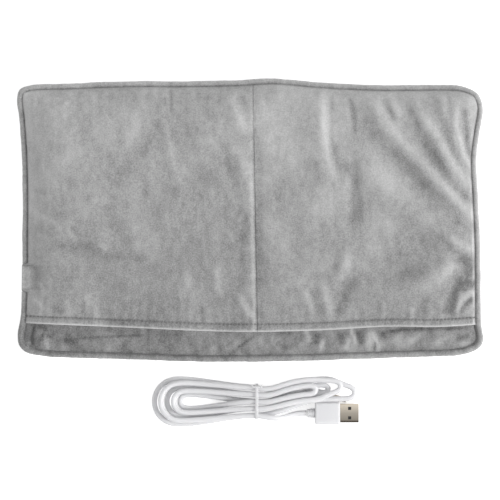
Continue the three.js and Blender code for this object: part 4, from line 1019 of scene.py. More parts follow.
        PaintedShade(((-7.5, -48.0), (-3.0, -55.0), (1.5, -63.0)), 2.3, 0.18),
        PaintedShade(((-0.5, -49.0), (2.5, -58.0)), 1.4, -0.1),
        PaintedShade(((-40.5, -31.0), (-38.0, -44.0)), 1.9, 0.07),
        PaintedShade(((-135.0, -40.0), (-130.0, -49.0)), 1.4, 0.16),
        PaintedShade(((-139.0, -50.0), (-131.0, -58.0)), 1.5, 0.16),
        PaintedShade(((-103.5, -47.0), (-99.0, -56.0)), 1.8, 0.08),
        PaintedShade(((-118.0, -51.0), (-113.0, -59.0)), 1.8, 0.07),
        PaintedShade(((-108.0, -53.0), (-104.0, -61.0)), 2.8, -0.08),
        PaintedShade(((-5.0, 1.0), (-5.0, -29.0)), 1.9, -0.07),
        # left half: painted shade where the cloth passes under the ends of the piping at the inlet
        PaintedShade(((-148.0, -29.0), (-141.0, -29.0)), 0.6, -0.3),
        PaintedShade(((-148.0, -45.0), (-142.0, -45.0)), 0.6, -0.26),
        PaintedShade(((-142.0, -29.0), (-138.0, -31.0), (-136.5, -36.0)), 0.9, -0.1),
    )
    relief: float = 0.6
    contrast: float = 1.25
    lining_gap: float = 0.3
    least_cover: float = 0.25
    slot_ease: float = 5.4
    pucker_heights: tuple[float, ...] = (0.3, 0.35, 0.22, 0.5, 0.3)
    pucker_pitches: tuple[float, ...] = (9.0, 9.0, 7.0, 8.0, 3.4)
    pucker_reaches: tuple[float, ...] = (10.0, 8.0, 7.0, 7.0, 1.7)
    seam_clear: float = 1.2
    channel_depth: float = 1.1
    channel_width: float = 0.8
    valley_depth: float = 0.5
    valley_width: float = 5.0
    cleft_depth: float = 1.9
    cleft_width: float = 0.55

    def heights(self, places: Array, side: Array, top: Array, hem: Array, seam: Array) -> tuple[Array, Array]:
        """Height of the plush face and of its underside.

        The base is a stuffed sheet: it rises from the seams as a parabola, crowns by half a sine
        each way, is pinched at the stitches, and carries creases, puckers and uneven ground.

        Args:
            places: Grid of places.
            side: Distance from the side seam.
            top: Distance from the top seam.
            hem: Distance from the hem's edge.
            seam: Distance from the centre seam.

        Returns:
            Heights of the face and of the underside.
        """
        p = self.plan
        x, y = places[..., 0], places[..., 1]
        sewn = rounded(side / p.reach) * rounded(top / p.reach)
        full = rounded(side / p.reach, 4) * rounded(top / p.reach, 4)
        stuffed = full * rounded((hem - self.hem_stitch) / self.hem_fill, 4)
        lining = p.lining_seam + (p.lining_inside - p.lining_seam) * sewn
        crown = p.crown * np.sin(math.pi * np.clip(side / p.panel, 0, 1))
        crown = crown * np.sin(math.pi * np.clip(hem / p.front_depth, 0, 1))
        under = lining + p.sheet + self.lining_gap + (p.filling + crown) * stuffed
        near_inlet = (x < 0) & (side < p.reach)
        away = np.clip(np.abs(y - p.inlet_y) - self.slot_ease, 0, None)
        roof = np.where(near_inlet, p.slot_roof * (1 - smooth(away / p.inlet_half)), 0.0)
        under = np.maximum(under, roof)
        creases = self.relief * sum(fold.at(x, y) for fold in self.folds)
        # puckers: uneven waves along each seam that die away from it
        high, pitch, reach = self.pucker_heights, self.pucker_pitches, self.pucker_reaches
        clear = self.seam_clear
        pucker = high[0] * wave_sum(x, pitch[0], 3) * np.exp(-top / reach[0]) * (1 - np.exp(-top / clear))
        pucker += high[1] * wave_sum(y, pitch[1], 5) * np.exp(-side / reach[1]) * (1 - np.exp(-side / clear))
        pucker += high[2] * wave_sum(y, pitch[2], 7) * np.exp(-seam / reach[2])
        above = np.clip(hem - self.hem_stitch, 0, None)
        pucker += high[3] * wave_sum(x, pitch[3], 11) * np.exp(-above / reach[3]) * (hem > self.hem_stitch)
        band = np.exp(-(((hem - 0.55 * self.hem_stitch) / reach[4]) ** 2))
        pucker += high[4] * wave_sum(x, pitch[4], 13) * band
        ground = 0.16 * cloud(x, y, 40.0, 17) + 0.1 * cloud(x, y, 13.0, 19)
        channel = self.channel_depth * np.exp(-(((hem - self.hem_stitch) / self.channel_width) ** 2))
        valley = self.valley_depth * np.exp(-((seam / self.valley_width) ** 2))
        face = under + p.cover + (creases + ground) * np.clip(stuffed, 0, 1)
        face = face + pucker * np.clip(full * 1.6, 0, 1)
        cleft = self.cleft_depth * np.exp(-seam / self.cleft_width)
        groove = 1.1 * np.maximum(np.exp(-side / 0.8), np.exp(-top / 0.8))
        face = face - channel - (valley + cleft) * np.clip(full * 2, 0.2, 1)
        # the hem's fold rolls under: a quarter circle down to the fold line
        roll = np.sqrt(np.clip(1 - (1 - np.clip(hem / self.rim, 0, 1)) ** 2, 0, 1))
        face = face - (1 - roll) * self.rim
        low = np.where(hem < 2.0, np.minimum(under, lining) + (1 - roll) * 1.2, under)
        face = np.maximum(face, under + self.lining_gap) - groove
        return face, np.minimum(low, face - self.least_cover)

    def shade(self, places: Array, side: Array, top: Array, hem: Array, seam: Array, right: bool) -> Array:
        """Painted light and painted shade of the pile at each place of one half, with some random tone.

        Args:
            places: Grid of places.
            side: Distance from the side seam.
            top: Distance from the top seam.
            hem: Distance from the hem's edge.
            seam: Distance from the centre seam.
            right: Whether it is the right half.

        Returns:
            Painted light and shade, with random tone, to add to the material's own.
        """
        x, y = places[..., 0], places[..., 1]
        # painted light and shade of the folds, from the bands
        light = self.contrast * sum(stroke.at(x, y) for stroke in self.strokes) * (hem > self.hem_stitch)
        # random tone, and a tone that gets lighter towards the top, lower on the left half
        light += 0.04 * cloud(x, y, 30.0, 23) + (0.01 + 0.0024 * y if right else 0.0015 * y - 0.08)
        light += 0.05 * wave_sum(x, 2.2, 59) * (hem < self.hem_stitch)
        # painted highlight along the hem's fold, and painted shade in the seams
        light += 0.7 * np.exp(-((hem / 0.95) ** 2))
        light -= 0.32 * np.exp(-((seam / 0.4) ** 2))
        open_seam = 0.0
        if not right:
            open_seam = smooth((self.plan.inlet_half + 1.0 - np.abs(y - self.plan.inlet_y)) / 1.5)
        light -= 0.55 * np.exp(-((np.minimum(side, top) / 0.7) ** 2)) * (1 - open_seam)
        # painted shade in the stitched channel, darkest in the stitch holes
        along_seam = (seam if right else side) - 0.3 * self.stitch_pitch
        stitch_hole_shade = (0.5 + 0.5 * np.cos(2 * math.pi * (along_seam / self.stitch_pitch + 0.15))) ** 2
        light -= (0.08 + 0.34 * stitch_hole_shade) * np.exp(-(((hem - self.hem_stitch) / 0.55) ** 2))
        if right:
            # painted highlight along the right edge, where the cloth rolls over to the piping
            right_edge_highlight = (0.15 + 0.85 * smooth((30.0 - y) / 30.0)) * (0.75 + 0.5 * wave_sum(y, 13.0, 61))
            light += 0.45 * np.exp(-(((side - 1.5) / 0.8) ** 2)) * right_edge_highlight
        else:
            # painted highlight beside the centre seam
            light += 0.26 * np.exp(-(((seam - 2.1) / 1.5) ** 2)) * smooth((75.0 - y) / 60.0)
            # painted light that lifts the left edge out of the shade that the key lamp leaves on its slope
            upper = 0.85 + 0.15 * smooth((y + 50.0) / 60.0)
            light += 0.46 * np.exp(-side / 13.0) * upper * (1 - 0.7 * open_seam)
            # painted light on the cloth's outer edge at the inlet
            light += 0.5 * np.exp(-((side / 0.9) ** 2)) * open_seam
        return light

    def half(self, right: bool) -> tuple[Array, Array, Array]:
        """Grid of one half: its face, its underside, and the painted light and shade of its pile."""
        p = self.plan
        across = edge_spacing(p.panel, 0.55, 0.95, 7.0)
        by_centre = p.panel - np.array([2.2, 1.5, 0.9, 0.4, 0.0])
        across = np.concatenate([across[:-1], by_centre])
        across = np.unique(np.round(across, 4))
        up_hem = np.array([0.0, 0.12, 0.3, 0.6, 1.0, 1.5, 2.0])
        up = np.concatenate([up_hem, np.arange(2.5, 9.0, 0.5), np.arange(9.0, p.front_depth - 7.0, 0.95)])
        up = np.concatenate([up, p.front_depth - edge_spacing(7.0, 0.55, 0.55, 3.0)[::-1]])
        up = np.unique(np.round(up, 4))
        b = up / p.front_depth
        if right:
            edges = (p.hem_right, p.top_right, p.front_seam, p.front_right)
            a = 1 - across[::-1] / p.panel
            side = across[::-1]
        else:
            edges = (p.hem_left, p.top_left, p.front_left, p.front_seam)
            a = across / p.panel
            side = across
        places = p.patch(edges, a, b)
        side_at = np.broadcast_to(side[None], places.shape[:2])
        if not right:
            places = p.shift_at_inlet(places, side_at)
        hem = np.broadcast_to(up[:, None], places.shape[:2])
        seam = p.panel - side_at
        face, low = self.heights(places, side_at, p.front_depth - hem, hem, seam)
        shade = self.shade(places, side_at, p.front_depth - hem, hem, seam, right)
        return np.dstack([places, face]), np.dstack([places, low]), shade

    def build(self) -> None:
        """Makes both halves and dresses them."""
        for name, right, node in (("front_plush_left", False, "front_cover_left"),
                                  ("front_plush_right", True, "front_cover_right")):
            top, bottom, shade = self.half(right)
            points, faces = slab(top, bottom)
            piece = new_piece(name, points, faces)
            set_attribute(piece, "painted_light_and_tone", np.concatenate([shade.ravel(), shade.ravel()]))
            finish_piece(piece, Body.POUCH, Slot.PLUSH, self.finishes.plush, node)


@dataclass
class InsideCloth:
    """Lining of the pocket: the back one, which shows as a lip at the mouth, and the front one."""

    plan: PouchPlan
    finishes: Finishes
    lip_folds: tuple[Fold, ...] = (
        Fold(((-139.6, -68.0), (-138.2, -80.0)), 2.2, -1.4),
        Fold(((-135.5, -69.0), (-132.0, -79.0)), 2.0, 1.0),
        Fold(((-131.5, -68.0), (-127.5, -76.0), (-119.0, -80.0)), 2.6, -1.3),
        Fold(((-112.0, -72.0), (-90.0, -77.5), (-64.0, -79.0)), 2.4, 0.7),
        Fold(((-98.0, -71.0), (-60.0, -73.0)), 2.2, -0.6),
        Fold(((-48.0, -76.5), (-15.0, -80.5)), 2.4, 0.6),
        Fold(((12.7, -72.0), (23.4, -84.6)), 2.6, 1.0, 0.4),
        Fold(((30.0, -72.0), (38.5, -84.6)), 2.8, -1.2),
        Fold(((38.4, -71.0), (44.9, -85.0)), 2.4, 1.5, 0.5),
        Fold(((51.3, -85.0), (57.2, -71.0)), 2.4, 1.3, -0.3),
        Fold(((60.5, -71.0), (64.0, -85.0)), 2.4, -1.2),
        Fold(((68.5, -69.5), (71.7, -85.0)), 2.2, 1.5, 0.5),
        Fold(((76.0, -70.5), (84.0, -84.6)), 2.2, 1.2, 0.4),
        Fold(((132.0, -69.5), (139.0, -79.0)), 2.4, -1.0),
    )

    # bands of painted light and painted shade on the lip's folds, and the painted shadow under the front's
    # hem
    strokes: tuple[PaintedShade, ...] = (
        # right half of the lip
        PaintedShade(((35.5, -70.0), (37.5, -75.0), (38.5, -79.0)), 1.8, 0.36),
        PaintedShade(((15.0, -71.5), (27.0, -72.5)), 2.0, -0.12),
        PaintedShade(((43.5, -72.0), (43.0, -80.0)), 2.5, -0.2),
        PaintedShade(((47.5, -76.0), (45.0, -85.0)), 1.7, 0.3),
        PaintedShade(((50.5, -73.0), (49.0, -81.0)), 1.4, -0.09),
        PaintedShade(((58.0, -71.0), (59.0, -80.5)), 2.9, -0.22),
        PaintedShade(((63.5, -76.0), (61.0, -84.0)), 1.7, 0.28),
        PaintedShade(((64.5, -69.0), (67.0, -76.0), (68.5, -81.0)), 0.9, 0.5),
        PaintedShade(((69.0, -71.0), (72.0, -80.0)), 2.3, -0.28),
        PaintedShade(((76.5, -71.0), (77.0, -85.0)), 2.0, 0.28),
        PaintedShade(((78.5, -71.0), (82.0, -80.0), (82.5, -86.0)), 1.2, 0.22),
        PaintedShade(((80.0, -78.0), (80.0, -86.0)), 0.8, -0.18),
        PaintedShade(((84.0, -72.0), (86.0, -76.0)), 2.4, -0.16),
        PaintedShade(((84.0, -72.5), (92.0, -71.0), (104.0, -70.0), (120.0, -69.5), (140.0, -69.5)), 1.5, -0.26),
        PaintedShade(((83.0, -81.0), (90.0, -78.0), (98.0, -76.0)), 2.6, 0.12),
        PaintedShade(((101.0, -79.0), (110.0, -73.0)), 2.6, 0.2),
        PaintedShade(((116.0, -81.0), (126.0, -75.0)), 2.6, 0.15),
        PaintedShade(((132.0, -77.0), (141.0, -73.0)), 2.3, -0.2),
        PaintedShade(((133.0, -80.5), (142.0, -78.0)), 1.4, 0.15),
        PaintedShade(((13.0, -74.0), (15.0, -79.0), (18.5, -84.0)), 1.0, 0.2),
        PaintedShade(((20.0, -75.0), (15.5, -79.0)), 0.9, 0.14),
        PaintedShade(((17.5, -77.0), (22.5, -83.0)), 1.5, -0.15),
        PaintedShade(((6.0, -74.0), (11.0, -77.0)), 4.0, 0.07),
        # left half of the lip
        PaintedShade(((-138.5, -67.5), (-139.8, -74.0), (-140.0, -81.0)), 0.8, -0.3),
        PaintedShade(((-137.0, -68.5), (-132.5, -69.0), (-131.0, -72.0)), 1.6, -0.2),
        PaintedShade(((-132.0, -73.0), (-134.0, -74.5), (-134.5, -78.0)), 1.1, -0.3),
        PaintedShade(((-131.0, -73.5), (-128.0, -75.5)), 1.2, -0.2),
        PaintedShade(((-131.5, -76.5), (-129.5, -83.0)), 1.0, 0.2),
        PaintedShade(((-121.0, -76.5), (-113.0, -78.5)), 2.0, -0.13),
        PaintedShade(((-112.0, -76.5), (-95.0, -75.0), (-68.0, -74.0)), 0.9, -0.14),
        PaintedShade(((-101.0, -79.5), (-89.0, -84.0)), 1.9, 0.12),
        PaintedShade(((-94.0, -69.5), (-84.0, -70.5)), 1.5, -0.14),
        PaintedShade(((-58.5, -76.0), (-55.0, -79.0)), 2.6, -0.14),
        PaintedShade(((-53.0, -80.0), (-50.0, -84.0)), 2.6, -0.1),
        PaintedShade(((-28.0, -75.0), (-10.0, -78.0)), 4.2, 0.07),
        PaintedShade(((-11.5, -85.5), (-5.0, -80.0), (2.5, -74.5)), 0.9, -0.14),
        PaintedShade(((-14.0, -83.5), (-7.0, -77.5)), 1.5, 0.1),
    )
    relief: float = 0.4
    contrast: float = 1.4

    def grid(self, start: float) -> tuple[Array, Array, Array, Array]:
        """Places of the whole lining, and their distances from the side, top and foot.

        Args:
            start: Distance above the hem at which it starts; the lip's foot if it is negative.

        Returns:
            Places, and distances from the side, top and foot seams.
        """
        p = self.plan
        side = edge_spacing(p.panel, 0.9, 1.6, 6.0)
        up = edge_spacing(p.front_depth - max(start, 0.0), 0.9, 3.4, 9.0) + max(start, 0.0)
        top_band = p.front_depth - edge_spacing(9.0, 0.9, 0.9, 3.0)[::-1]
        up = np.unique(np.round(np.concatenate([up[up < p.front_depth - 9.0], top_band]), 4))
        grids = []
        for right in (False, True):
            a = 1 - side[::-1] / p.panel if right else side / p.panel
            front = (p.hem_right, p.top_right, p.front_seam, p.front_right) if right else (
                p.hem_left, p.top_left, p.front_left, p.front_seam)
            places = p.patch(front, a, up / p.front_depth)
            if start < 0:
                lip = (p.foot_right, p.hem_right, p.lip_seam, p.lip_right) if right else (
                    p.foot_left, p.hem_left, p.lip_left, p.lip_seam)
                low = edge_spacing(p.lip_depth, 0.5, 0.6, 5.0)
                places = np.concatenate([p.patch(lip, a, low[:-1] / p.lip_depth), places])
            grids.append(places)
        places = np.concatenate([grids[0], grids[1][:, 1:]], axis=1)
        foot = up + p.lip_depth
        hem = up
        if start < 0:
            foot = np.concatenate([low[:-1], foot])
            hem = np.concatenate([low[:-1] - p.lip_depth, up])
        sides = np.concatenate([side, side[::-1][1:]])
        shape = places.shape[:2]
        side_at = np.broadcast_to(sides[None], shape)
        places = p.shift_at_inlet(places, np.where(places[..., 0] < 0, side_at, 99.0))
        return (places, side_at, np.broadcast_to((p.front_depth - hem)[:, None], shape),
                np.broadcast_to(foot[:, None], shape))

    def build(self) -> None:
        """Makes the back lining with its folds at the lip and their painted light and shade, and the front
        lining.
        """
        p = self.plan
        places, side, top, foot = self.grid(-1.0)
        x, y = places[..., 0], places[..., 1]
        full = rounded(side / p.reach) * rounded(top / p.reach) * rounded(foot / p.reach)
        bottom = p.back_seam + (p.back_inside - p.back_seam) * full
        shows = smooth((p.lip_depth + 14 - foot) / 12)
        folds = self.relief * sum(fold.at(x, y) for fold in self.lip_folds)
        ground = 0.35 * cloud(x, y, 17.0, 29) + 0.2 * wave_sum(x, 6.0, 31) * np.exp(-foot / 6.0)
        face = bottom + p.sheet + np.clip(folds + ground, -1.0, 1.6) * shows * smooth(foot / 3.0)
        edge = np.minimum(side, foot)
        face = np.maximum(face - 0.5 * np.exp(-edge / 0.6), bottom + 0.25)
        points, faces = slab(np.dstack([places, face]), np.dstack([places, bottom]))
        piece = new_piece("pocket_lining_back", points, faces)
        # painted shadow under the front's hem and inside the mouth, and random tone
        shade = -0.10 * smooth((p.lip_depth - foot + 3.0) / 8.0) + 0.05 * cloud(x, y, 9.0, 37)
        drawn = self.contrast * sum(stroke.at(x, y) for stroke in self.strokes)
        # painted bands, and a tone that gets lighter towards the right
        shade += drawn + 0.09 * smooth(x / 40.0) - 0.04
        # painted shade in the seams along the sides and the foot
        shade -= (0.2 + 0.14 * smooth((x + 40.0) / 60.0)) * np.exp(-((edge / 0.5) ** 2))
        set_attribute(piece, "painted_light_and_tone", np.concatenate([shade.ravel(), shade.ravel()]))
        finish_piece(piece, Body.POUCH, Slot.LINING, self.finishes.lining, "back_lining")

        places, side, top, foot = self.grid(2.9)
        full = rounded(side / p.reach) * rounded(top / p.reach)
        bottom = p.lining_seam + (p.lining_inside - p.lining_seam) * full
        points, faces = slab(np.dstack([places, bottom + p.sheet]), np.dstack([places, bottom]))
        piece = new_piece("pocket_lining_front", points, faces)
        set_attribute(piece, "painted_light_and_tone", np.zeros(len(points)))
        finish_piece(piece, Body.POUCH, Slot.LINING, self.finishes.lining, "front_lining")


@dataclass
class BackPlush:
    """The plush that the pouch lies on."""

    plan: PouchPlan
    finishes: Finishes
    rim: float = 14.0

    def build(self) -> None:
        """Makes the back: flat where it rests, and turned up to the piping all round."""
        p = self.plan
        cloth = InsideCloth(p, self.finishes)
        places, side, top, foot = cloth.grid(-1.0)
        x, y = places[..., 0], places[..., 1]
        full = rounded(side / self.rim) * rounded(top / self.rim) * rounded(foot / self.rim)
        bottom = 0.5 * (1 - full) + 0.05 * (1 + cloud(x, y, 30.0, 41)) * (1 - full)
        points, faces = slab(np.dstack([places, bottom + p.cover]), np.dstack([places, bottom]))
        piece = new_piece("back_plush", points, faces)
        set_attribute(piece, "painted_light_and_tone", np.zeros(len(points)))
        finish_piece(piece, Body.POUCH, Slot.PLUSH, self.finishes.plush, "back_cover")


@dataclass
class EdgePiping:
    """Plush piping in the outer seam: one run, open at the inlet."""

    plan: PouchPlan
    finishes: Finishes
    height: float = 2.8

    def run(self) -> Array:
        """Centre line of the piping, from above the inlet round to below it."""
        p = self.plan
        loop = p.loop(p.piping / 2, 24)
        closed = np.vstack([loop, loop[:1]])
        fine = along(closed, np.linspace(0, 1, 900, endpoint=False))
        gap = (fine[:, 0] < 0) & (np.abs(fine[:, 1] - p.inlet_y) < p.inlet_half + 0.2)
        start = int(np.argmax(gap & ~np.roll(gap, -1))) + 1
        line = np.roll(fine, -start, axis=0)
        line = line[~np.roll(gap, -start)]
        return np.column_stack([line, np.full(len(line), self.height)])

    def build(self) -> None:
        """Makes the piping, its girth a little uneven where the cloth is eased round the cord."""
        line = self.run()
        at = lengths_along(line)
        ends = smooth(np.minimum(at, at[-1] - at) / 0.5)
        radius = (self.plan.piping / 2) * (1 + 0.035 * wave_sum(at, 7.0, 43)) * (0.7 + 0.3 * ends)
        line[:, :2] += 0.12 * wave_sum(at, 23.0, 47)[:, None]
        sides = 16
        points, faces = swept(line, radius, sides)
        piece = new_piece("edge_piping_plush", points, faces)
        # painted light where the piping turns outwards, away from the eye, and painted shade down in the seam
        # on its inner side
        ahead = np.gradient(line[:, :2], axis=0)
        ahead /= np.linalg.norm(ahead, axis=1, keepdims=True)
        outwards = np.stack([-ahead[:, 1], ahead[:, 0]], axis=-1)
        around = points[: len(line) * sides, :2].reshape(len(line), sides, 2) - line[:, None, :2]
        out = np.clip(np.einsum("nsk,nk->ns", around, outwards) / radius[:, None], -1.0, 1.0)
        high = smooth((line[:, 1:2] + 70.0) / 30.0)
        shade = (0.32 + 0.2 * high) * np.clip(out, 0, 1) ** 2 - (0.15 + 0.3 * high) * np.clip(-out, 0, 1)
        low_left = smooth((20.0 - line[:, :1]) / 60.0) * (1 - high)
        # random tone, and a tone darker along the foot, more so towards the left
        shade += 0.03 * wave_sum(at, 5.0, 53)[:, None] - 0.1 * (1 - high) - 0.14 * low_left
        set_attribute(piece, "painted_light_and_tone", np.resize(shade.ravel(), len(points)))
        finish_piece(piece, Body.POUCH, Slot.PLUSH, self.finishes.plush, "edge_piping")


@dataclass
class HemStitches:
    """Topstitch along the hem: one dash of thread after another in the stitched channel."""

    plan: PouchPlan
    finishes: Finishes
    front: FrontPlush
    length: float = 1.75
    radius: float = 0.24

    def build(self) -> None:
        """Makes each stitch a short six-sided bead of thread that follows the cloth."""
        p = self.plan
        dashes: list[tuple[Array, Array]] = []
        for right in (False, True):
            edges = (p.hem_right, p.top_right, p.front_seam, p.front_right) if right else (
                p.hem_left, p.top_left, p.front_left, p.front_seam)
            b = np.array([self.front.hem_stitch / p.front_depth])
            pitch = self.front.stitch_pitch
            starts = (np.arange(int(p.panel / pitch)) + 0.3) * pitch
            count = len(starts)
            steps = np.linspace(0, self.length, 5)
            at = (starts[:, None] + steps[None]).ravel()
            a = np.clip(at / p.panel, 0, 1)
            places = p.patch(edges, a, b)
            side = (p.panel - at if right else at)[None]
            hem = np.full((1, len(at)), self.front.hem_stitch)
            face, _ = self.front.heights(places, side, p.front_depth - hem, hem, p.panel - side)
            line = np.column_stack([places[0], face[0] + 0.12]).reshape(count, len(steps), 3)
            sink = 0.55 * np.abs(np.linspace(-1, 1, len(steps))) ** 3
            line[..., 2] -= sink
            dashes.extend(swept(dash, self.radius * np.array([0.5, 1, 1, 1, 0.5]), 6) for dash in line)
        piece = merged("hem_stitches", dashes)
        finish_piece(piece, Body.POUCH, Slot.PLUSH, self.finishes.thread)


# The supply lead


@dataclass
class SupplyLead:
    """The lead wound into a tied hank: ten half turns in two layers, all one unbroken cord.

    The hank's waist is at the origin of its own plan. Half turns alternate between the far side
    of the waist and the near side: they spiral in, climb one layer, and spiral out again.
    """

    finishes: Finishes
    diameter: float = 3.5
    waist: tuple[float, float] = (4.2, -116.3)
    strand_step: float = 4.5
    layer_step: float = 4.4
    left_reach: float = 66.0
    left_radius: float = 14.6
    left_radius_step: float = 2.5
    left_reach_step: float = 4.0
    left_y: float = -0.3
    right_loops: tuple[tuple[float, float, float], ...] = (
        (59.6, 4.0, 5.7), (44.0, 2.8, 8.05), (36.0, 2.8, 7.6), (51.0, 3.6, 9.8))
    right_wide: tuple[tuple[float, float], ...] = ((1.55, 14.55), (5.25, 10.85), (4.8, 10.4), (1.1, 14.1))
    close_in: float = 13.5
    draw_in: tuple[float, float] = (44.0, 36.0)
    pinch: float = 0.1
    pinch_x: float = 10.0
    pinch_width: float = 9.0
    lift: float = 7.4
    lift_span: tuple[float, float] = (-44.0, 21.0)
    tie_lift: float = 0.9
    usb: tuple[float, float, float] = (36.2, -123.9, 4.0)
    usb_bulge: float = 2.5
    usb_drop: tuple[float, float] = (0.41, 0.82)
    climb: tuple[float, float] = (0.18, 0.705)
    barrel_tip: tuple[float, float] = (61.6, -115.6)
    barrel_turn: float = math.radians(-14.0)
    barrel_whole: float = 35.4
    barrel_z: float = 2.9
    barrel_drift: float = 0.44
    left_steps: tuple[int, ...] = (0, 2, 4, 3, 1)

    @property
    def barrel_rear(self) -> Array:
        """Where the lead meets the barrel plug's strain relief."""
        axis = np.array([math.cos(self.barrel_turn), math.sin(self.barrel_turn)])
        return np.array([*(np.array(self.barrel_tip) - self.barrel_whole * axis), self.barrel_z])

    def lifted(self, x: Array) -> Array:
        """Long low lift of the strands over the barrel plug."""
        low, high = self.lift_span
        return self.lift * smooth((x - low) / (high - low))

    def slot(self, run: int) -> float:
        """Sideways place of a half turn at the waist."""
        steps = math.ceil((4 - run) / 2) if run < 5 else math.ceil((run - 5) / 2)
        return steps * self.strand_step * (1 if run % 2 == 0 else -1)

    def layer(self, run: int) -> float:
        """Height of the layer that a half turn lies in."""
        return 0.4 * self.diameter + (0.0 if run < 5 else self.layer_step)

    def right_run(self, run: int, side: int, number: int, steps: int = 28) -> Array:
        """From the waist to the right-hand loop or plug: sideways by a smooth step."""
        share = np.linspace(0, 1, steps)
        if run == 0:
            rear = self.barrel_rear
            heading = np.array([math.cos(self.barrel_turn), math.sin(self.barrel_turn)])
            end = rear[:2] - self.diameter * heading
            drift = smooth((share - self.barrel_drift) / (1 - self.barrel_drift))
            x = (end[0] - self.waist[0]) * share
            slot = self.pinched(run, x)
            y = slot + (end[1] - self.waist[1] - slot) * drift
            z = 0.4 * self.diameter + self.tie_lift
            return np.column_stack([x, y, z + (self.barrel_z - z) * drift])
        if run == 9:
            low, high = self.usb_drop
            x = (self.usb[0] - self.diameter - self.waist[0]) * share
            slot = self.pinched(run, x)
            y = slot + (self.usb[1] - self.waist[1] - slot) * smooth(share)
            y = y - self.usb_bulge * np.sin(math.pi * share) ** 2
            drop = smooth((share - low) / (high - low))
            z = (self.layer(run) + self.lifted(x)) * (1 - drop) + self.usb[2] * drop
            return np.column_stack([x, y, z])
        reach, radius, middle = self.right_loops[number - 1]
        x = reach * share
        slot = self.pinched(run, x)
        wide = self.right_wide[number - 1][0 if side < 0 else 1]
        y = slot + (wide - slot) * smooth(x / self.draw_in[0 if run < 5 else 1])
        y += (middle + side * radius - wide) * smooth((x - reach + self.close_in) / self.close_in)
        return np.column_stack([x, y, self.layer(run) + self.lifted(x)])

    def pinched(self, run: int, x: Array) -> Array:
        """Sideways place of a half turn right of the waist, where the strands lie closer."""
        low = self.slot(9)
        closer = 1 - self.pinch * np.exp(-(((x - self.pinch_x) / self.pinch_width) ** 2))
        return low + (self.slot(run) - low) * closer

    def left_run(self, run: int, side: int, reach: float, radius: float, steps: int = 28) -> Array:
        """From the waist to the left-hand loop; one of them climbs a layer on the way."""
        share = np.linspace(0, 1, steps)[1:]
        slot = self.slot(run)
        x = reach * share
        y = slot + (self.left_y + side * radius - slot) * smooth(share)
        low, high = self.climb
        z = np.full(share.shape, self.layer(run))
        if run == 5:
            z = 0.4 * self.diameter + self.layer_step * smooth((high - share) / (high - low))
        lift = self.tie_lift * (1 - smooth(share)) if run == 0 else self.lifted(x)
        return np.column_stack([x, y, z + lift])

    def arc(
        self, centre: tuple[float, float], radius: float, start: float, height: float, steps: int = 26
    ) -> Array:
        """Half a turn round a loop's centre, counter-clockwise."""
        angle = start + math.pi * np.arange(1, steps) / steps
        x = centre[0] + radius * np.cos(angle)
        return np.column_stack([x, centre[1] + radius * np.sin(angle), height + self.lifted(x)])

    def route(self) -> Array:
        """The lead's centre line from the barrel plug to the USB plug, in millimetres."""
        pieces: list[Array] = []
        for run in range(10):
            turn, side = run // 2, 1 if run % 2 == 0 else -1
            radius = self.left_radius - self.left_radius_step * self.left_steps[turn]
            reach = -self.left_reach + self.left_reach_step * self.left_steps[turn] + radius
            number = turn if side > 0 else turn + 1
            right = self.right_run(run, side, number)
            left = self.left_run(run, side, reach, radius)
            if side > 0:
                height = self.layer(0 if turn < 3 else 5)
                pieces += [right[::-1], left, self.arc((reach, self.left_y), radius, math.pi / 2, height)]
            else:
                pieces += [left[::-1], right]
                if run < 9:
                    far, bend, middle = self.right_loops[number - 1]
                    pieces.append(self.arc((far, middle), bend, -math.pi / 2, self.layer(run)))
        line = np.concatenate(pieces) + np.array([*self.waist, 0.0])
        line = np.vstack([self.barrel_rear, line, self.usb])
        keep = np.concatenate([[True], np.linalg.norm(np.diff(line, axis=0), axis=1) > 0.05])
        line = line[keep]
        even = along(line, np.linspace(0, 1, 1100))
        soft = even.copy()
        for _ in range(14):
            soft[1:-1] = 0.25 * soft[:-2] + 0.5 * soft[1:-1] + 0.25 * soft[2:]
        ends = np.minimum(lengths_along(even), lengths_along(even)[-1] - lengths_along(even))[:, None]
        blend = smooth(ends / 4.0)
        return soft * blend + even * (1 - blend)

    def build(self, with_pieces: list) -> bpy.types.Object:
        line = self.route()
        points, faces = swept(line, self.diameter / 2, 18)
        points[:, 2] = np.maximum(points[:, 2], 0.0)
        piece = new_piece("lead_jacket", points, faces)
        finish_piece(piece, Body.LEAD, Slot.WHITE_RUBBER, self.finishes.jacket, "supply_lead")
        return piece


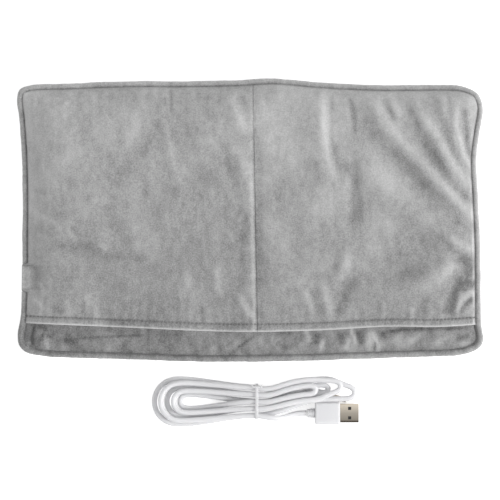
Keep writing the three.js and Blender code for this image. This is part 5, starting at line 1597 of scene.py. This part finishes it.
@dataclass
class TwistTie:
    """Flat plastic-covered wire round the waist of the hank, its ends twisted together on top."""

    finishes: Finishes
    centre: tuple[float, float] = (4.2, -116.3)
    width: float = 2.1
    thickness: float = 0.5
    reach: float = 11.05
    low: float = 0.25
    high: float = 13.75
    corner: float = 2.6

    def build(self) -> bpy.types.Object:
        """Makes the band, a rounded loop in the plane across the hank, and the twisted ends."""
        corners = [(1, -1, -90), (1, 1, 0), (-1, 1, 90), (-1, -1, 180)]
        mid = (self.low + self.high) / 2
        half = (self.high - self.low) / 2
        path, normal = [], []
        for sy, sz, start in corners:
            angle = np.radians(start + np.linspace(0, 90, 9))
            out = np.column_stack([np.cos(angle), np.sin(angle)])
            centre = np.array([sy * (self.reach - self.corner), mid + sz * (half - self.corner)])
            path.append(centre + self.corner * out)
            normal.append(out)
        loop, out = np.vstack(path), np.vstack(normal)
        section = 2 * math.pi * np.arange(10) / 10
        wide = np.sign(np.cos(section)) * np.abs(np.cos(section)) ** 0.5 * self.width / 2
        thick = np.sin(section) * self.thickness / 2
        rings = np.zeros((len(loop), 10, 3))
        rings[..., 0] = self.centre[0] + wide[None]
        rings[..., 1] = self.centre[1] + loop[:, :1] + out[:, :1] * thick[None]
        rings[..., 2] = loop[:, 1:] + out[:, 1:] * thick[None]
        quads = grid_faces(len(loop) + 1, 10, True) % (len(loop) * 10)
        solids = [(rings.reshape(-1, 3), quads)]
        spin = np.linspace(0, 4 * math.pi, 60)
        along_x = np.linspace(-3.1, 3.3, 60)
        for phase in (0.0, math.pi):
            radius = 0.42 + 0.25 * smooth((np.abs(along_x) - 2.2) / 1.1)
            twist = np.column_stack([
                self.centre[0] + along_x,
                self.centre[1] + self.reach - 1.6 + radius * np.cos(spin + phase) + 0.05 * along_x**2,
                self.high + 0.62 + radius * np.sin(spin + phase),
            ])
            solids.append(swept(twist, 0.4, 10))
        piece = merged("tie_of_twisted_wire", solids)
        return finish_piece(piece, Body.LEAD, Slot.WHITE_PLASTIC, self.finishes.tie, "twist_tie")


def rounded_bar(length: float, width: float, height: float, corner: float, edge: float,
                steps: int = 8) -> tuple[Array, list]:
    """A bar along +X with rounded long edges and rounded ends.

    Each ring is a rounded rectangle. Towards both ends the rings draw in along a quarter circle.

    Args:
        length: Length along X, from 0.
        width: Size along Y.
        height: Size along Z.
        corner: Radius of the long edges.
        edge: Radius of the edges round the ends.
        steps: Steps of each quarter circle.

    Returns:
        Points and faces.
    """
    quarter = np.linspace(0, math.pi / 2, steps + 1)
    xs = np.concatenate([edge * (1 - np.cos(quarter)), length - edge * (1 - np.cos(quarter[::-1]))])
    inset = np.concatenate([edge * (1 - np.sin(quarter)), edge * (1 - np.sin(quarter[::-1]))])
    rings = []
    for x, draw in zip(xs, inset):
        radius = max(corner - draw, 0.15)
        cy, cz = width / 2 - draw - radius, height / 2 - draw - radius
        angle = np.concatenate([quarter + k * math.pi / 2 for k in range(4)])
        sy = np.repeat([1, -1, -1, 1], steps + 1)
        sz = np.repeat([1, 1, -1, -1], steps + 1)
        ys, zs = sy * cy + radius * np.cos(angle), sz * cz + radius * np.sin(angle)
        rings.append(np.column_stack([np.full(len(angle), x), ys, zs]))
    count = 4 * (steps + 1)
    points = np.concatenate(rings)
    faces = [face[::-1] for face in grid_faces(len(rings), count, True).tolist()]
    last = (len(rings) - 1) * count
    faces.append(list(range(count)))
    faces.append([last + k for k in range(count)][::-1])
    return points, faces


@dataclass
class UsbPlug:
    """USB-A plug: ribbed strain relief, moulded body, and the plated shell with its contacts."""

    finishes: Finishes
    x: float = 36.5
    y: float = -123.9
    z: float = 4.0
    relief: float = 5.0
    body_offset: float = 0.15
    body: tuple[float, float, float] = (15.7, 14.9, 8.0)
    body_corner: float = 2.3
    body_edge: float = 1.0
    body_seat: float = 0.3
    rib_count: int = 4
    rib_first: float = 0.4
    rib_pitch: float = 1.1
    rib_radius: float = 2.55
    rib_growth: float = 0.14
    rib_outline: tuple[tuple[float, float], ...] = (
        (0, 0), (0.12, 0.14), (0.62, 0.16), (0.74, 0), (0.78, -0.2), (1.04, -0.2),
    )
    relief_start: tuple[tuple[float, float], ...] = ((0, 0), (0, 2.3), (0.15, 2.5))
    relief_end: tuple[tuple[float, float], ...] = ((4.82, 3.1), (5.0, 3.1), (5.15, 2.9), (5.15, 0))
    turns: int = 40

    def build(self) -> list:
        """Makes the moulded relief and body, and returns them with the names of the shell, tongue and
        contacts: all that is on the lead.
        """
        ribs = list(self.relief_start)
        for k in range(self.rib_count):
            start, radius = self.rib_first + self.rib_pitch * k, self.rib_radius + self.rib_growth * k
            ribs += [(start + along, radius + out) for along, out in self.rib_outline]
        ribs += self.relief_end
        points, faces = turned(np.array(ribs, float), self.turns)
        relief = new_piece("usb_relief_ribbed", points + np.array([self.x, self.y, self.z]), faces)
        finish_piece(relief, Body.LEAD, Slot.WHITE_RUBBER, self.finishes.jacket, "usb_strain_relief")
        start = self.x + self.relief + self.body_offset
        length, width, height = self.body
        points, faces = rounded_bar(
            length + self.body_seat, width, height, self.body_corner, self.body_edge
        )
        body = new_piece("usb_body_moulded", points + np.array([start, self.y, self.z]), faces)
        finish_piece(body, Body.LEAD, Slot.WHITE_PLASTIC, self.finishes.moulding, "usb_overmold")
        return [relief, body, "usb_shell", "usb_tongue", *(f"usb_contact_{k}" for k in range(1, 5))]


@dataclass
class BarrelPlug:
    """Barrel plug for the inlet, lying under the loops of the hank."""

    finishes: Finishes
    lead: SupplyLead
    radius: float = 2.9
    rib_count: int = 5
    rib_first: float = 0.8
    rib_pitch: float = 1.4
    rib_outline: tuple[tuple[float, float], ...] = (
        (0, 2.12), (0.15, 2.24), (0.8, 2.24), (0.95, 2.1), (1.2, 2.0),
    )
    relief_start: tuple[tuple[float, float], ...] = ((0.3, 0), (0.3, 1.95), (0.45, 2.1))
    relief_end: tuple[tuple[float, float], ...] = ((8.0, 2.1), (8.35, 2.1), (8.35, 0))
    knurl_from: float = 12.0
    knurl_to: float = 20.0
    knurl_steps: int = 17
    knurl_depth: float = 0.12
    turns: int = 36

    def build(self) -> list:
        """Makes the relief and grip as turned forms along the plug's axis, and returns them with the names of
        the barrel's CAD nodes.
        """
        rear, turn = self.lead.barrel_rear, self.lead.barrel_turn
        r = self.radius
        relief = list(self.relief_start)
        for k in range(self.rib_count):
            start = self.rib_first + self.rib_pitch * k
            relief += [(start + along, out) for along, out in self.rib_outline]
        relief += self.relief_end
        knurl = np.linspace(self.knurl_from, self.knurl_to, self.knurl_steps)
        grip = [(8.6, 0), (8.6, r - 1.0), (8.8, r - 0.5), (9.4, r - 0.08), (10.0, r)]
        grip += [(x, r - self.knurl_depth * (k % 2)) for k, x in enumerate(knurl)]
        grip += [(24.4, r), (25.0, r - 0.08), (25.5, r - 0.5), (25.6, r - 1.0), (25.6, 0)]
        made = []
        for name, profile, slot, finish, node in (
            ("barrel_relief_ribbed", relief, Slot.WHITE_RUBBER, self.finishes.jacket, "barrel_strain_relief"),
            ("barrel_grip_moulded", grip, Slot.WHITE_PLASTIC, self.finishes.moulding, "barrel_grip"),
        ):
            points, faces = turned(np.array(profile, float), self.turns)
            piece = new_piece(name, placed(points, turn, rear), faces)
            made.append(finish_piece(piece, Body.LEAD, slot, finish, node))
        return [*made, "barrel_sleeve", "barrel_insulator"]


# Frame pieces that keep their CAD shape


@dataclass
class FramePieces:
    """CAD nodes whose shape is right: each one gets its finish."""

    finishes: Finishes
    nodes: dict[str, bpy.types.Object]

    def build(self) -> None:
        """Dresses each node that stays."""
        f = self.finishes
        dress = {
            f.shell: ("usb_shell",),
            f.steel: ("barrel_sleeve", "inlet_sleeve", "inlet_pin"),
            f.gold: tuple(f"usb_contact_{k}" for k in range(1, 5)),
            f.black: ("usb_tongue", "barrel_insulator", "inlet_body", "inlet_boot", "overheat_cutout",
                      "splice_sleeve_1", "splice_sleeve_2"),
            f.jacket: ("inlet_lead", "return_lead_lower", "return_lead_upper"),
            f.wadding: ("back_wadding", "front_wadding"),
            f.felt: ("heater_carrier",),
            f.wire: ("heating_wire",),
        }
        for material, names in dress.items():
            for name in names:
                mesh = self.nodes[name].data
                mesh.materials.clear()
                mesh.materials.append(material)


# Studio


@dataclass
class Studio:
    """Floor, light and the camera straight above."""

    frame_width: float = 0.3215
    centre: tuple[float, float] = (-0.00013, -0.01923)
    distance: float = 3.0
    sensor_mm: float = 36.0
    clip: tuple[float, float] = (0.1, 20.0)
    key: float = 2.2
    key_from: tuple[float, float] = (-14.0, 36.0)
    key_spread: float = 14.0
    fill: float = 0.12
    fill_from: tuple[float, float] = (150.0, 55.0)
    fill_spread: float = 60.0
    ambient: float = 0.61
    floor_reach_mm: float = 4000.0
    floor_drop_mm: float = 0.1

    def camera(self) -> None:
        """Makes a long-lens camera that looks straight down with +Y up in the picture."""
        data = bpy.data.cameras.new("camera")
        data.sensor_width = self.sensor_mm
        data.lens = self.sensor_mm * self.distance / self.frame_width
        data.clip_start, data.clip_end = self.clip
        camera = bpy.data.objects.new("camera", data)
        camera.location = (*self.centre, self.distance)
        bpy.context.scene.collection.objects.link(camera)
        bpy.context.scene.camera = camera

    def lamp(self, name: str, azimuth: float, elevation: float, strength: float, spread: float) -> None:
        """A soft distant lamp that shines from the given direction.

        Args:
            name: Name of the lamp.
            azimuth: Direction that it stands in, in degrees from +X towards +Y.
            elevation: Its height above the floor, in degrees.
            strength: Light on a surface that faces it.
            spread: Its apparent size, in degrees.
        """
        data = bpy.data.lights.new(name, "SUN")
        data.energy = strength
        data.angle = math.radians(spread)
        lamp = bpy.data.objects.new(name, data)
        lamp.rotation_euler = (0.0, math.radians(90 - elevation), math.radians(azimuth))
        bpy.context.scene.collection.objects.link(lamp)

    def build(self) -> None:
        """Makes the floor, the lamps and the sky."""
        reach, low = self.floor_reach_mm, -self.floor_drop_mm
        corners = [[x * reach, y * reach, low] for x, y in ((-1, -1), (1, -1), (1, 1), (-1, 1))]
        floor = new_piece("studio_floor", np.array(corners), [[0, 1, 2, 3]])
        floor.data.materials.append(Backdrop().build())
        self.lamp("key", *self.key_from, self.key, self.key_spread)
        self.lamp("fill", *self.fill_from, self.fill, self.fill_spread)
        world = bpy.data.worlds.new("sky")
        world.use_nodes = True
        tree = world.node_tree
        sky = tree.nodes["Background"]
        sky.inputs["Color"].default_value = (1.0, 1.0, 1.0, 1.0)
        # white to the eye and in mirrors, dimmer as a lamp
        path = tree.nodes.new("ShaderNodeLightPath")
        strength: bpy.types.NodeSocket | None = None
        for ray in ("Is Camera Ray", "Is Glossy Ray", "Is Transmission Ray"):
            power = tree.nodes.new("ShaderNodeMath")
            power.operation = "MAXIMUM"
            tree.links.new(path.outputs[ray], power.inputs[0])
            power.inputs[1].default_value = self.ambient
            if strength:
                tree.links.new(strength, power.inputs[1])
            strength = power.outputs[0]
        tree.links.new(strength, sky.inputs["Strength"])
        bpy.context.scene.world = world
        bpy.context.scene.view_settings.view_transform = "Standard"


def main() -> None:
    """Builds the foot warmer on its frame."""
    logging.basicConfig(level=logging.INFO, format="%(name)s: %(message)s")
    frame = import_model()
    finishes = Finishes()
    studio = Studio()
    studio.camera()
    lead = SupplyLead(finishes)
    tie = TwistTie(finishes).build()
    usb = UsbPlug(finishes).build()
    barrel = BarrelPlug(finishes, lead).build()
    nodes = frame["nodes"]
    FramePieces(finishes, nodes).build()
    lead.build([nodes[item] if isinstance(item, str) else item for item in [*usb, *barrel, tie]])
    plan = PouchPlan()
    front = FrontPlush(plan, finishes)
    front.build()
    HemStitches(plan, finishes, front).build()
    InsideCloth(plan, finishes).build()
    BackPlush(plan, finishes).build()
    EdgePiping(plan, finishes).build()
    studio.build()


if __name__ == "__main__":
    main()
